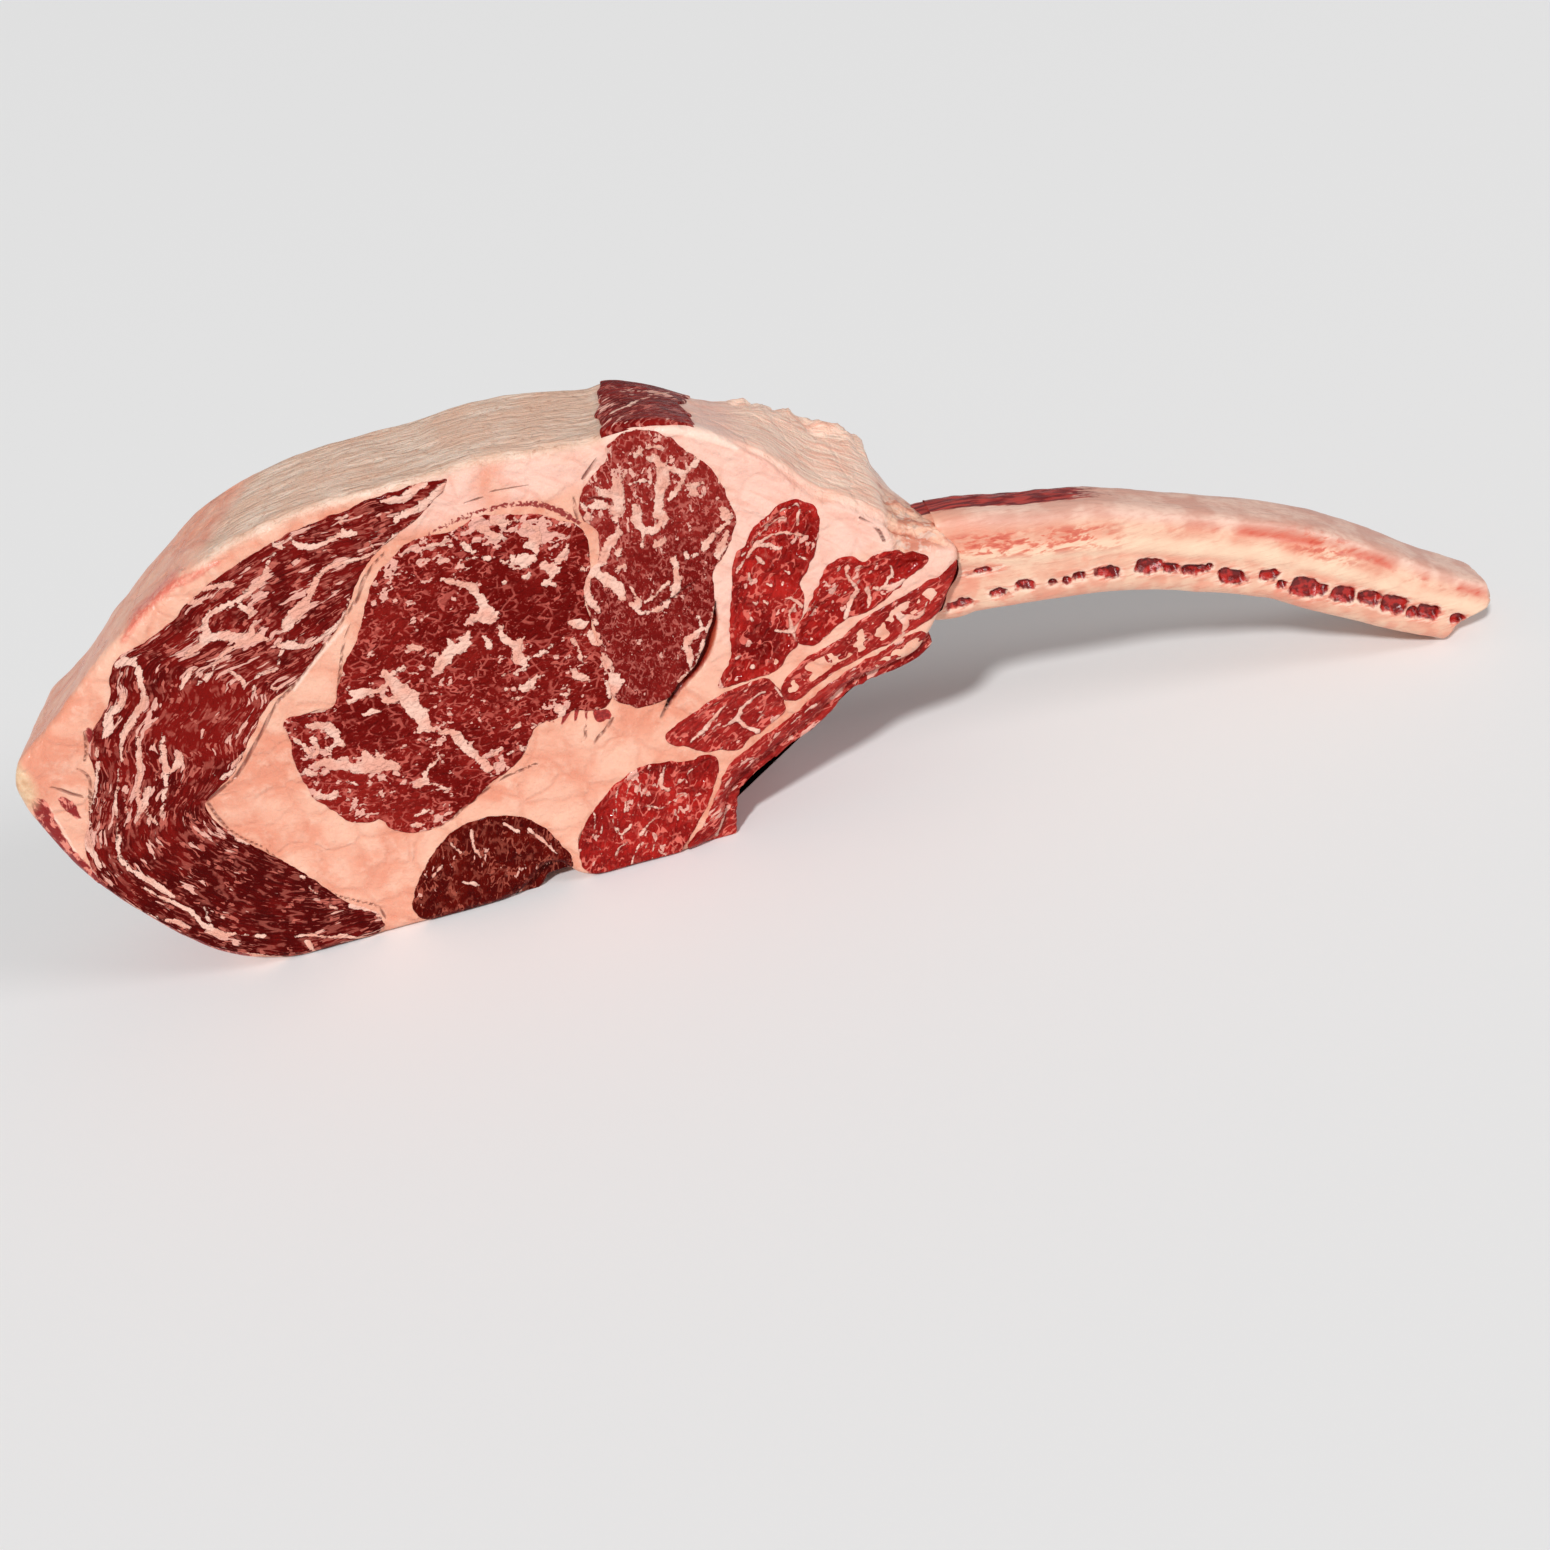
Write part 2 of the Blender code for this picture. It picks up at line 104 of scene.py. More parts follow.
def dapple(place, size, seed=0, layers=1):
    """Value noise from -1 to 1: random numbers at the corners of cubes of this size, blended across each cube
    by t^2 (3 - 2t), and each further layer half as large and half as strong."""
    place = np.asarray(place, float)
    total, weight = 0.0, 0.0
    for layer in range(layers):
        spot = place * (2**layer / size) + 19.7 * seed + 7.3 * layer
        cell = np.floor(spot).astype(np.int64)
        part = spot - cell
        ease = part * part * (3 - 2 * part)
        value = 0.0
        for corner in itertools.product((0, 1), repeat=place.shape[-1]):
            key = ((cell + corner) * np.array([73856093, 19349663, 83492791])[: place.shape[-1]]).sum(-1)
            key = ((key ^ (key >> 13)) * 1274126177 + seed * 374761393) & 0x7FFFFFFF
            key = ((key ^ (key >> 15)) * 668265263) & 0x7FFFFFFF
            drawn = ((key >> 8) & 0xFFFF) / 32767.5 - 1
            value = value + drawn * np.where(corner, ease, 1 - ease).prod(-1)
        total = total + value * 0.5**layer
        weight += 0.5**layer
    return total / weight


def smooth(value, low, high):
    """0 up to low, 1 from high, and t^2 (3 - 2t) between them."""
    t = np.clip((value - low) / (high - low), 0, 1)
    return t * t * (3 - 2 * t)


NONE_NEAR = -30.0  # a stroke's value far from every stroke


def strokes(place, lines, count=14):
    """The half width of the nearest stroke less the distance to its middle line, so above 0 inside a stroke.
    A stroke is a curve through points of x, z and half width."""
    best = np.full(len(place), NONE_NEAR)
    for line in lines:
        curve = flowing(line, count, closed=False) if len(line) > 1 else np.asarray([line[0], line[0]], float)
        low, high = curve[:, :2].min(0) - 14, curve[:, :2].max(0) + 14
        near = np.flatnonzero(((place > low) & (place < high)).all(1))
        spot = place[near]
        found = best[near]
        for start, end in zip(curve[:-1], curve[1:]):
            run = end[:2] - start[:2]
            share = np.clip(((spot - start[:2]) @ run) / (run @ run + 1e-9), 0, 1)
            away = np.linalg.norm(spot - start[:2] - share[:, None] * run, axis=1)
            found = np.maximum(found, start[2] + share * (end[2] - start[2]) - away)
        best[near] = found
    return best


def depth_in(place, outline):
    """Signed distance from a closed outline, positive inside: the least distance to a side, and inside is
    where a ray upwards crosses an odd number of sides."""
    best = np.full(len(place), 1e9)
    odd = np.zeros(len(place), bool)
    for start, end in zip(outline, np.roll(outline, -1, 0)):
        run = end - start
        share = np.clip(((place - start) @ run) / (run @ run + 1e-12), 0, 1)
        best = np.minimum(best, np.linalg.norm(place - start - share[:, None] * run, axis=1))
        straddles = (start[0] > place[:, 0]) != (end[0] > place[:, 0])
        crossing = start[1] + (place[:, 0] - start[0]) * (run[1] / (run[0] + 1e-12))
        odd ^= straddles & (place[:, 1] < crossing)
    return np.where(odd, best, -best)


def turned_rim(place):
    """How far the body's rounded rim has turned back from the cut face at these places: the radius less the
    height of a quarter circle over the distance from the outline."""
    near = ROUNDING - depth_in(place, flowing(BODY, 220))
    return ROUNDING - np.sqrt(np.maximum(ROUNDING**2 - np.clip(near, 0, ROUNDING) ** 2, 0))


def set_back(place):
    """Moves the points by the back shifts in proportion to their depth, and not at all on the resting
    surface."""
    share = (place[..., 1] + FACE) / (2 * FACE) * np.clip(place[..., 2] / 40, 0, 1)
    flat = place[..., ::2]
    move = np.zeros_like(flat)
    for centre, reach, shift in BACK_SHIFTS:
        away = np.linalg.norm(flat - centre, axis=-1, keepdims=True) / reach
        move = move + np.asarray(shift) * np.exp(-away * away)
    moved = place.copy()
    moved[..., ::2] += move * share[..., None]
    return moved


def sheet(name, grid, fields=(), wrap=True):
    """A closed mesh on a grid of points, rows by columns. Points that coincide are one vertex, so a row that
    shrinks to a point or folds onto itself closes the surface. Fields are numbers or vectors kept with each
    vertex."""
    flat = grid.reshape(-1, 3)
    spots = np.round(flat * 2000).astype(np.int64)
    _, first, index = np.unique(spots, axis=0, return_index=True, return_inverse=True)
    index = index.reshape(grid.shape[:2])
    if wrap:
        index = np.concatenate([index, index[:, :1]], 1)
    faces = np.stack([index[:-1, :-1], index[:-1, 1:], index[1:, 1:], index[1:, :-1]], -1).reshape(-1, 4)
    points = flat[first]
    a, b, c, d = (points[faces[:, k]] for k in range(4))
    if (np.cross(c - a, d - b) * (a + b + c + d)).sum() < 0:
        faces = faces[:, ::-1]
    repeats = (np.sort(faces, 1)[:, 1:] == np.sort(faces, 1)[:, :-1]).sum(1)
    corners = faces[repeats == 0].tolist()
    corners += [list(dict.fromkeys(face)) for face in faces[repeats == 1].tolist()]
    mesh = bpy.data.meshes.new(name)
    placed = points * UNIT + np.array([MIDDLE * UNIT, 0, 0])
    mesh.from_pydata(placed.tolist(), [], corners)
    mesh.shade_smooth()
    for field, values in dict(fields).items():
        values = np.asarray(values, float)
        kind = "FLOAT_VECTOR" if values.ndim == 3 else "FLOAT"
        layer = mesh.attributes.new(field, kind, "POINT")
        kept = values.reshape(len(flat), -1)[first]
        layer.data.foreach_set("vector" if values.ndim == 3 else "value", kept.ravel())
    made = bpy.data.objects.new(name, mesh)
    bpy.context.scene.collection.objects.link(made)
    return made


def tint(red, green, blue):
    """A colour as it shows on a screen, 0 to 255, as the light it stands for."""
    shown = np.array([red, green, blue]) / 255
    return (*np.where(shown <= 0.04045, shown / 12.92, ((shown + 0.055) / 1.055) ** 2.4).tolist(), 1.0)


class Flow:
    """A value in a material: arithmetic on it adds Math nodes, and node() adds any other kind."""

    def __init__(self, tree, socket=None):
        self.tree = tree
        self.socket = socket

    def node(self, kind, inputs=(), output=0, **settings):
        made = self.tree.nodes.new("ShaderNode" + kind)
        for name, setting in settings.items():
            setattr(made, name, setting)
        for key, value in dict(inputs).items():
            if isinstance(value, Flow):
                self.tree.links.new(value.socket, made.inputs[key])
            else:
                made.inputs[key].default_value = value
        return Flow(self.tree, made.outputs[output])

    def math(self, operation, first, second=0.0):
        return self.node("Math", {0: first, 1: second}, operation=operation)

    def __add__(self, other):
        return self.math("ADD", self, other)

    def __sub__(self, other):
        return self.math("SUBTRACT", self, other)

    def __rsub__(self, other):
        return self.math("SUBTRACT", other, self)

    def __mul__(self, other):
        return self.math("MULTIPLY", self, other)

    def __truediv__(self, other):
        return self.math("DIVIDE", self, other)

    __radd__ = __add__
    __rmul__ = __mul__

    def most(self, other):
        return self.math("MAXIMUM", self, other)

    def least(self, other):
        return self.math("MINIMUM", self, other)

    def step(self, low, high):
        """0 below low, 1 above high, smooth between."""
        inputs = {0: self, 1: low, 2: high}
        return self.node("MapRange", inputs, data_type="FLOAT", interpolation_type="SMOOTHSTEP")

    def mix(self, first, second):
        """The first colour where this is 0, the second where it is 1."""
        return self.node("Mix", {0: self, 6: first, 7: second}, output=2, data_type="RGBA")

    def field(self, name, output=2):
        return self.node("Attribute", output=output, attribute_name=name)

    def parts(self, name):
        """The three numbers of a field of vectors."""
        split = self.node("SeparateXYZ", {0: self.field(name, 1)}).socket.node
        return [Flow(self.tree, socket) for socket in split.outputs]

    def units(self):
        """The place on the piece, in units of the drawing."""
        here = self.node("TexCoord", output=3)
        return self.node("VectorMath", {0: here, 3: 1 / UNIT}, operation="SCALE")

    def stretched(self, scale, shift=(0, 0, 0)):
        """This vector times a scale for each axis, and moved."""
        return self.node("Mapping", {0: self, 1: shift, 3: scale})

    def slanted(self, degrees, stretch):
        """This vector with patterns drawn out along a line at this slope on the cut face."""
        turn = (0, -np.radians(degrees), 0)
        return self.node("Mapping", {0: self, 2: turn, 3: (stretch, 1, 1)}, vector_type="TEXTURE")

    def noise(self, size, layers=2.0, rough=0.5):
        """Noise with lumps of this size, 0 to 1."""
        return self.node("TexNoise", {0: self, 2: 1 / size, 3: layers, 4: rough}, noise_dimensions="3D")

    def pushed(self, size, amount):
        """This vector moved about by noise of this size, by up to about this amount."""
        drift = self.node("TexNoise", {0: self, 2: 1 / size, 3: 2.0}, output=1, noise_dimensions="3D")
        drift = self.node("VectorMath", {0: drift, 1: (0.5, 0.5, 0.5)}, operation="SUBTRACT")
        drift = self.node("VectorMath", {0: drift, 3: 2 * amount}, operation="SCALE")
        return self.node("VectorMath", {0: self, 1: drift}, operation="ADD")

    def walls(self, size):
        """Distance to the nearest wall between random cells of this size, in this vector's units."""
        inputs = {0: self, 2: 1 / size}
        return self.node("TexVoronoi", inputs, feature="DISTANCE_TO_EDGE", voronoi_dimensions="3D") * size


def surface(name, build, **constants):
    """A material. build takes a Flow and the Principled shader and joins what varies to it."""
    material = bpy.data.materials.new(name)
    material.use_nodes = True
    tree = material.node_tree
    shader = tree.nodes["Principled BSDF"]
    for socket, value in constants.items():
        shader.inputs[socket.replace("_", " ")].default_value = value
    joined = build(Flow(tree))
    for socket, value in joined.items():
        tree.links.new(value.socket, shader.inputs[socket])
    return material


def wrap_round(outline, rounding, ahead, behind, inner_rows, back_rows, wall_rows, centre):
    """The surface of a slab round an outline, from the depth ahead to the depth behind, as rows from the
    middle of the front face over its rounded rim, along the side and back in over the other face. Returns the
    points, their outward directions and how far round the profile each row is: 0 to 1 on the front, 1 to 2
    round the side and 2 to 3 on the back."""
    normal = outward(outline)
    turn = np.linspace(0, np.pi / 2, 6)[1:]
    front = np.linspace(0, 1, inner_rows)
    back = np.linspace(1, 0, back_rows)
    inset = np.concatenate([
        np.full(inner_rows, rounding), rounding * (1 - np.sin(turn)), np.zeros(wall_rows),
        rounding * (1 - np.sin(turn[::-1])), np.full(back_rows, rounding),
    ])
    share = np.concatenate([front, np.ones(10 + wall_rows), back])
    straight = np.linspace(ahead + rounding, behind - rounding, wall_rows + 2)[1:-1]
    depth = np.concatenate([
        np.full(inner_rows, ahead), ahead + rounding * (1 - np.cos(turn)), straight,
        behind - rounding * (1 - np.cos(turn[::-1])), np.full(back_rows, behind),
    ])
    lean = np.concatenate([
        np.zeros(inner_rows), np.sin(turn), np.ones(wall_rows), np.sin(turn[::-1]), np.zeros(back_rows),
    ])
    round_profile = np.concatenate([front, 1 + np.linspace(0, 1, 10 + wall_rows + 2)[1:-1], 3 - back])
    rim = outline[None] - normal[None] * inset[:, None, None]
    flat = centre[None] + (rim - centre[None]) * share[:, None, None]
    points = np.stack([flat[..., 0], np.broadcast_to(depth[:, None], flat.shape[:2]), flat[..., 1]], -1)
    side = lean[:, None] * np.ones(len(outline))
    way = np.sign(depth - (ahead + behind) / 2)[:, None] * np.sqrt(1 - side**2)
    facing = np.stack([normal[None, :, 0] * side, way, normal[None, :, 1] * side], -1)
    return points, facing, np.broadcast_to(round_profile[:, None], flat.shape[:2])


def to_spine(outline, start, end):
    """The nearest point of a straight spine for each point of the outline."""
    start, end = np.asarray(start, float), np.asarray(end, float)
    run = end - start
    share = np.clip(((outline - start) @ run) / (run @ run), 0, 1)
    return start + share[:, None] * run


# Where the muscles sit in the fat, which dips under each: the eye, the crown over it, and the smaller ones
# below
EYE = (
    (-113, 133), (-107, 132.9), (-102, 132.6), (-97, 134.1), (-90, 134.8), (-82, 132.4), (-75, 130.2),
    (-69.5, 127), (-65, 124), (-63.2, 117.5), (-65, 111), (-68.4, 103.4), (-70, 96), (-69.6, 88), (-69.2, 79),
    (-69.6, 71), (-70.8, 65), (-73.4, 62.4), (-78, 62.6), (-83, 64), (-88, 63), (-93, 63.2), (-97.4, 61.6),
    (-100.4, 57), (-104, 52.4), (-110, 48.8), (-116, 46.6), (-121, 43.6), (-129, 39.4), (-135, 36.6),
    (-140, 35.6), (-147, 36.8), (-151, 40), (-153.6, 44.4), (-158, 44.4), (-163, 47), (-167, 52.6),
    (-169.8, 56.4), (-171.4, 62.6), (-171.6, 71), (-170.6, 78), (-169.8, 86), (-161, 86.2), (-155, 86),
    (-151.4, 90.6), (-148, 96.4), (-143, 103), (-138, 108.8), (-135, 114), (-131, 121), (-126, 126),
    (-119.6, 130.4),
)
CROWN = (
    (-57.6, 136.5), (-52.8, 140), (-50, 142.4), (-48.8, 146), (-44, 148), (-38, 147.8), (-33.6, 145.8),
    (-30.4, 142.7), (-27, 138.2), (-23.8, 134.9), (-21.6, 131.6), (-20.2, 127), (-18.6, 120), (-17.6, 114),
    (-19.6, 109), (-22.4, 105), (-25.6, 101.6), (-28.8, 98.2), (-29.8, 92), (-31, 87), (-33.5, 81.5),
    (-36.5, 76.5), (-40, 70), (-43.4, 67), (-48, 64), (-51, 61), (-56, 58.8), (-61, 58.6), (-65, 60.4),
    (-68.4, 63.6), (-68.9, 71), (-68.4, 80), (-68.2, 88), (-68, 94), (-68.4, 101), (-66, 107), (-61.8, 110.4),
    (-59.6, 115), (-58.8, 121), (-62, 126.4), (-60.6, 132.4),
)
COSTAL = (
    (2.3, 113.2), (5.1, 111), (7, 107), (6.6, 103.6), (5.2, 99.6), (2.9, 94.3), (-0.6, 89.8), (-3.6, 85),
    (-3.6, 80), (-5.6, 75), (-8.6, 71.4), (-8.8, 66), (-11.8, 63.6), (-15.4, 60.4), (-20, 58.4), (-28, 58),
    (-36, 57.9), (-33, 62), (-29.9, 66), (-28.8, 69.4), (-28.2, 73.8), (-27.1, 78.2), (-25.4, 83.8),
    (-23.2, 91), (-21.6, 97.7), (-19.6, 101), (-16.6, 102.4), (-13.8, 106), (-9.9, 109.6), (-6, 111),
    (-3, 112.6),
)
STRIP = (
    (-57, 45), (-55, 46.9), (-50, 49.4), (-43.8, 51.9), (-35, 54.4), (-30, 55.6), (-25, 56.4), (-20.6, 55.4),
    (-18.4, 52), (-17.6, 47.6), (-18.4, 43.4), (-22, 41), (-27, 38.4), (-31, 37.6), (-35, 34.4), (-38, 34.4),
    (-41, 36), (-47, 37), (-51, 40.4), (-54.6, 42),
)
FLANK = (
    (-44, 33), (-44.5, 28), (-48, 22), (-52, 15.5), (-57, 9.5), (-62.5, 3), (-67, -2.5), (-79, -3),
    (-89, -2.5), (-94.5, 2.5), (-95.8, 9), (-94, 16), (-89.5, 22), (-84, 27.5), (-77, 33), (-69, 36.5),
    (-60, 36), (-53, 34), (-48, 34.5),
)
CHAIN = (
    (-154, 6.5), (-151.5, 13), (-147, 19), (-141.5, 25.5), (-134, 31), (-125, 33.5), (-116, 32.5), (-109, 29),
    (-104, 23), (-101.2, 16.5), (-99.8, 10.5), (-101.5, 5.5), (-108, 5), (-113, 0.5), (-120, -3), (-132, -3),
    (-145, -2.5), (-151, 1),
)
RIB_UPPER = (
    (11.4, 90.3), (7.3, 89.1), (4.9, 86.8), (2.9, 83), (-0.4, 79), (-4.4, 73.6), (-6.8, 70.6), (-7.6, 66.4),
    (-4.6, 64.4), (0, 65.6), (5, 68.8), (9, 70.4), (14.6, 70.6), (20, 72.8), (26, 75.6), (31, 79), (36, 80.8),
    (38, 83), (34, 84.6), (30.6, 85.6), (27, 88), (21.8, 87.7), (17.6, 87), (14.8, 89.8),
)

# Red tissue that a knife left on the fat, the streaky membrane at the lower left, and creases darkened with
# painted shade, all as strokes
RAW_BAND = (
    (
        (-207.2, 126.4, 1.2), (-200, 132.8, 1.9), (-193.6, 136.8, 2.1), (-186.4, 140, 2.1),
        (-180, 140.8, 1.9), (-170.4, 143.2, 1.2),
    ),
)
MEMBRANE = (
    ((-252.4, 81, 2.6), (-253, 70, 3.4), (-251.4, 60, 3.2), (-247.6, 50, 3.4), (-242.6, 40, 3.4)),
    (
        (-247, 44, 1.6), (-241, 34.4, 2.6), (-235, 26, 3.6), (-227.6, 18.6, 4.4), (-219, 11.4, 3.2),
        (-212, 6.6, 1.6),
    ),
    ((-245, 80.2, 1.6), (-243.6, 76.6, 2.1), (-242.6, 73, 0.8)),
    ((-227.6, 101.4, 1.2), (-228.4, 98.4, 1.5), (-228.6, 96.6, 0.8)),
)
CREASES = (
    ((20, 102.1, 0.3), (24.3, 97.1, 0.45), (25.7, 92.1, 0.45)),
    ((-81, 56.6, 0.35), (-82.1, 52.8, 0.35), (-83.6, 51.9, 0.2)),
    ((-71.8, 57, 0.4), (-74.9, 54, 0.4), (-78.1, 51.8, 0.35), (-80.9, 49.3, 0.15)),
    (
        (-138.4, 34.7, 0.2), (-131.3, 37, 0.35), (-127.2, 39.4, 0.35), (-123, 41.2, 0.35), (-113, 46, 0.3),
        (-104, 47.5, 0.35), (-98.4, 48.5, 0.15),
    ),
    ((-94.9, 13, 0.35), (-94, 16.5, 0.55), (-92.1, 19, 0.55), (-89.3, 21.5, 0.4), (-87.1, 24, 0.25)),
    ((-62.7, 134, 0.2), (-63.4, 131, 0.4), (-63.7, 126.6, 0.4)),
    ((-58.8, 138.5, 0.3), (-55, 141.6, 0.4), (-52.5, 143.5, 0.2)),
    ((-246.8, 86, 0.2), (-243.6, 83.6, 0.35), (-242, 82, 0.4), (-238.8, 79.6, 0.3)),
    ((-229.2, 101.2, 0.25), (-231.6, 94, 0.35), (-233.2, 91.6, 0.25)),
    ((-236.4, 89.6, 0.2), (-234.4, 86, 0.35), (-235.6, 81.2, 0.4), (-237.2, 77.2, 0.4), (-238.8, 73.2, 0.3)),
    ((-95, 140.8, 0.1), (-89.4, 141.2, 0.2), (-85, 142.1, 0.2), (-82.5, 141.9, 0.2), (-75, 140.8, 0.1)),
)
# A membrane arches over the eye, dashed where the knife frayed it
ARC = (
    (
        (-110, 133.8, 0.3), (-105.3, 135, 0.4), (-100, 136.1, 0.5), (-94, 136.8, 0.5), (-88, 137, 0.5),
        (-82, 136.6, 0.55), (-75.8, 135.1, 0.7), (-71.6, 133, 0.8), (-68.4, 130.4, 0.9), (-65.6, 127, 0.8),
        (-63.6, 125, 0.5),
    ),
)
# The open tear between the crown muscle and the meat of the ribs
TEAR = (
    (-30.8, 87.5), (-33.3, 81.5), (-36.3, 76.3), (-39.8, 69.8), (-43, 66.6), (-47.5, 63.7), (-50.8, 60.6),
    (-54, 57), (-57.5, 52), (-55, 54.4), (-51, 58), (-47, 61.4), (-43, 64), (-38.5, 67.8), (-35, 72),
    (-32.4, 77), (-30.9, 81.5), (-30.2, 87),
)
# Its left edge, from which its depth and its colour are graded: painted shade, near black at this edge, then
# its own red-brown and orange towards the rim
TEAR_LEFT = (
    (-30.8, 87.5, 0), (-33.3, 81.5, 0), (-36.3, 76.3, 0), (-39.8, 69.8, 0), (-43, 66.6, 0), (-47.5, 63.7, 0),
    (-50.8, 60.6, 0), (-54, 57, 0), (-57.5, 52, 0),
)
# Points of lean that run out into the fat under the eye
TAILS = (
    ((-84.6, 64.6, 1.4), (-86.6, 61.6, 0.8), (-88.4, 59, 0.2)),
    ((-81.4, 64.6, 1.0), (-82.8, 61.4, 0.6), (-84.1, 58.4, 0.15)),
    ((-78.8, 63.6, 0.8), (-79.8, 60, 0.5), (-80.9, 56.4, 0.2)),
    ((-76.2, 61.4, 1.2), (-75.6, 58.6, 1.8), (-73.6, 59.6, 1.6), (-72.4, 57.6, 0.6)),
    ((-91.6, 63, 0.8), (-89.6, 60.4, 0.3)),
)
# Raised lips of fat, with a painted highlight along their crest
LIPS = (
    (
        (-164, 96, 0.3), (-160, 99.6, 0.5), (-156, 102.8, 0.5), (-151.3, 106.2, 0.5), (-146.6, 109.2, 0.4),
        (-141, 113, 0.4),
    ),
    ((-33, 147.2, 0.7), (-27.6, 145.6, 1.2), (-21.6, 142.6, 1.5), (-16.4, 139, 1.2), (-11, 135, 0.6)),
    ((-250, 79.6, 0.3), (-249.2, 70, 0.3), (-248.8, 62, 0.35), (-248.2, 54, 0.4), (-246.4, 47.6, 0.4)),
    ((-39, 68.6, 0.3), (-43, 66, 0.3)),
)
# The thin dark lines where the wedge of fat meets the outer muscle and the eye, partly the lean's own dark
# edge and partly painted shadow along the fat's raised lip
WEDGE_EDGE = (
    (
        (-121.6, 132.8, 0.2), (-128, 128.8, 0.3), (-132, 124.8, 0.35), (-135.2, 120, 0.35),
        (-143.2, 113.6, 0.35), (-148, 109.6, 0.35), (-156, 103.6, 0.4), (-164, 97.2, 0.35),
        (-170.4, 93.4, 0.3), (-178, 85.2, 0.4), (-185.2, 78, 0.4), (-190, 73.2, 0.4), (-195.6, 70, 0.4),
        (-202.8, 67, 0.4), (-202.4, 62, 0.4), (-200.4, 54.8, 0.3), (-195.6, 47.8, 0.3), (-192.4, 45, 0.3),
        (-190, 39.6, 0.3), (-185.2, 31.6, 0.3), (-177.2, 21.2, 0.3), (-171.6, 16.4, 0.35), (-166.8, 14, 0.35),
        (-163.6, 10, 0.35), (-164, 6.8, 0.3),
    ),
    (
        (-138.6, 113.6, 0.2), (-141.6, 110.4, 0.3), (-144.8, 105.6, 0.3), (-147.4, 100, 0.35),
        (-149.6, 95, 0.35), (-151.4, 90.6, 0.35), (-152.9, 87, 0.35), (-157.8, 86.9, 0.3),
        (-164.2, 86.7, 0.35), (-168.9, 86.4, 0.2),
    ),
)

outline = flowing(BODY, 660)
outline[:, 1] = np.maximum(outline[:, 1], 0.05)
spine = to_spine(outline, *SPINE)
grid, facing, profile = wrap_round(outline, ROUNDING, -FAT_FACE, FAT_FACE, 60, 26, 26, spine)
flat = grid[..., ::2].reshape(-1, 2)
on_side = smooth(np.abs(profile - 1.5), 0.5, 0.42).reshape(-1)
lumps = dapple(grid, 16, 1, 2) * 0.5 + dapple(grid, 5, 2, 2) * 0.22 - 0.35
top = smooth(grid[..., 2], 90, 130) * smooth(grid[..., 0], -235, -215)
wrinkles = dapple(grid * [0.25, 1, 0.25], 3.2, 3, 3)
flap = smooth(grid[..., 0], -16, -4) * smooth(grid[..., 2], 84, 96)
ragged = smooth(grid[..., 1], 2, 26) * flap
push = lumps + 0.45 * top * on_side.reshape(grid.shape[:2]) * wrinkles
push = push + ragged * dapple(grid, 6, 5, 3) * 3.0
push = push - 0.5 * smooth(strokes(flat, CREASES), -0.4, 0.4).reshape(grid.shape[:2]) * (grid[..., 1] < -20)
for hollow in (EYE, CROWN, COSTAL, STRIP, FLANK, CHAIN, RIB_UPPER):
    push = push - 3.4 * smooth(depth_in(flat, flowing(hollow, 110)).reshape(grid.shape[:2]), 0.9, 2.6)
tear = depth_in(flat, flowing(TEAR, 160)).reshape(grid.shape[:2])
tear = np.where(grid[..., 1] < -20, tear, -9.0)
from_left = -strokes(flat, (TEAR_LEFT,), 40).reshape(grid.shape[:2])
push = push - 7.5 * smooth(tear, -0.2, 0.7) * smooth(from_left, 4.6, 0.4)
push = push + 0.5 * smooth(strokes(flat, LIPS).reshape(grid.shape[:2]), -0.7, 0.5) * (grid[..., 1] < -18)
shoulder = smooth(grid[..., 0], 27.5, 30) * smooth(grid[..., 2], 82, 87) * (grid[..., 1] < 0)
push = push - 2.6 * shoulder * smooth(-grid[..., 1], 20, 27) + shoulder * (dapple(grid, 5, 6, 2) * 1.5 - 0.5)
push = push - 1.5 * flap * smooth(np.abs(profile - 1.09), 0.07, 0.0)
push = np.where(grid[..., 2] < 1.5, np.minimum(push, -0.1) * 0.3, push)
push = np.where(profile < 1, push * 0.6, push)
grid = set_back(grid + facing * push[..., None])
from_flap_end = ((grid[..., 0] - 42) / 10) ** 2 + ((grid[..., 2] - 98) / 12) ** 2
square = smooth(grid[..., 1], -20, 20) * np.exp(-from_flap_end)
grid[..., 0] -= 8 * square
grid[..., 1] = np.clip(grid[..., 1], -FACE, FACE)
grid[..., 2] = np.maximum(grid[..., 2], 0.05)
front = smooth(-grid[..., 1], 0, 20)
zones = np.stack([
    on_side.reshape(grid.shape[:2]) * smooth(grid[..., 2], 124, 138)
    * smooth(grid[..., 0] + 180 - (grid[..., 1] + 28) * 0.32, -3, 7) * smooth(-grid[..., 0], 46, 50),
    strokes(flat, RAW_BAND).reshape(grid.shape[:2]) * 0.25 * front - (1 - front),
    strokes(flat, MEMBRANE).reshape(grid.shape[:2]) * 0.45,
], -1)
HIDDEN = 20  # taken from a mark towards the back face, which has none
# The first mark is the creases and the wedge's seams, which are darkened with painted shade
marks = np.stack([
    strokes(flat, CREASES + WEDGE_EDGE, 30).reshape(grid.shape[:2]) - HIDDEN * (1 - front),
    smooth(np.hypot(grid[..., 0] + 256, (grid[..., 2] - 89) * 0.6), 7, 3),
    flap * smooth(grid[..., 1], -26.5, -21),
], -1)
above_eye = smooth(grid[..., 2], 133, 140) * smooth(grid[..., 0], -128, -104)
tones = np.stack([
    np.maximum(smooth(grid[..., 0], -66, -24) * smooth(grid[..., 2], 50, 90), above_eye),
    strokes(flat, ARC, 40).reshape(grid.shape[:2]) - HIDDEN * (1 - front), shoulder + 0 * grid[..., 0],
], -1)
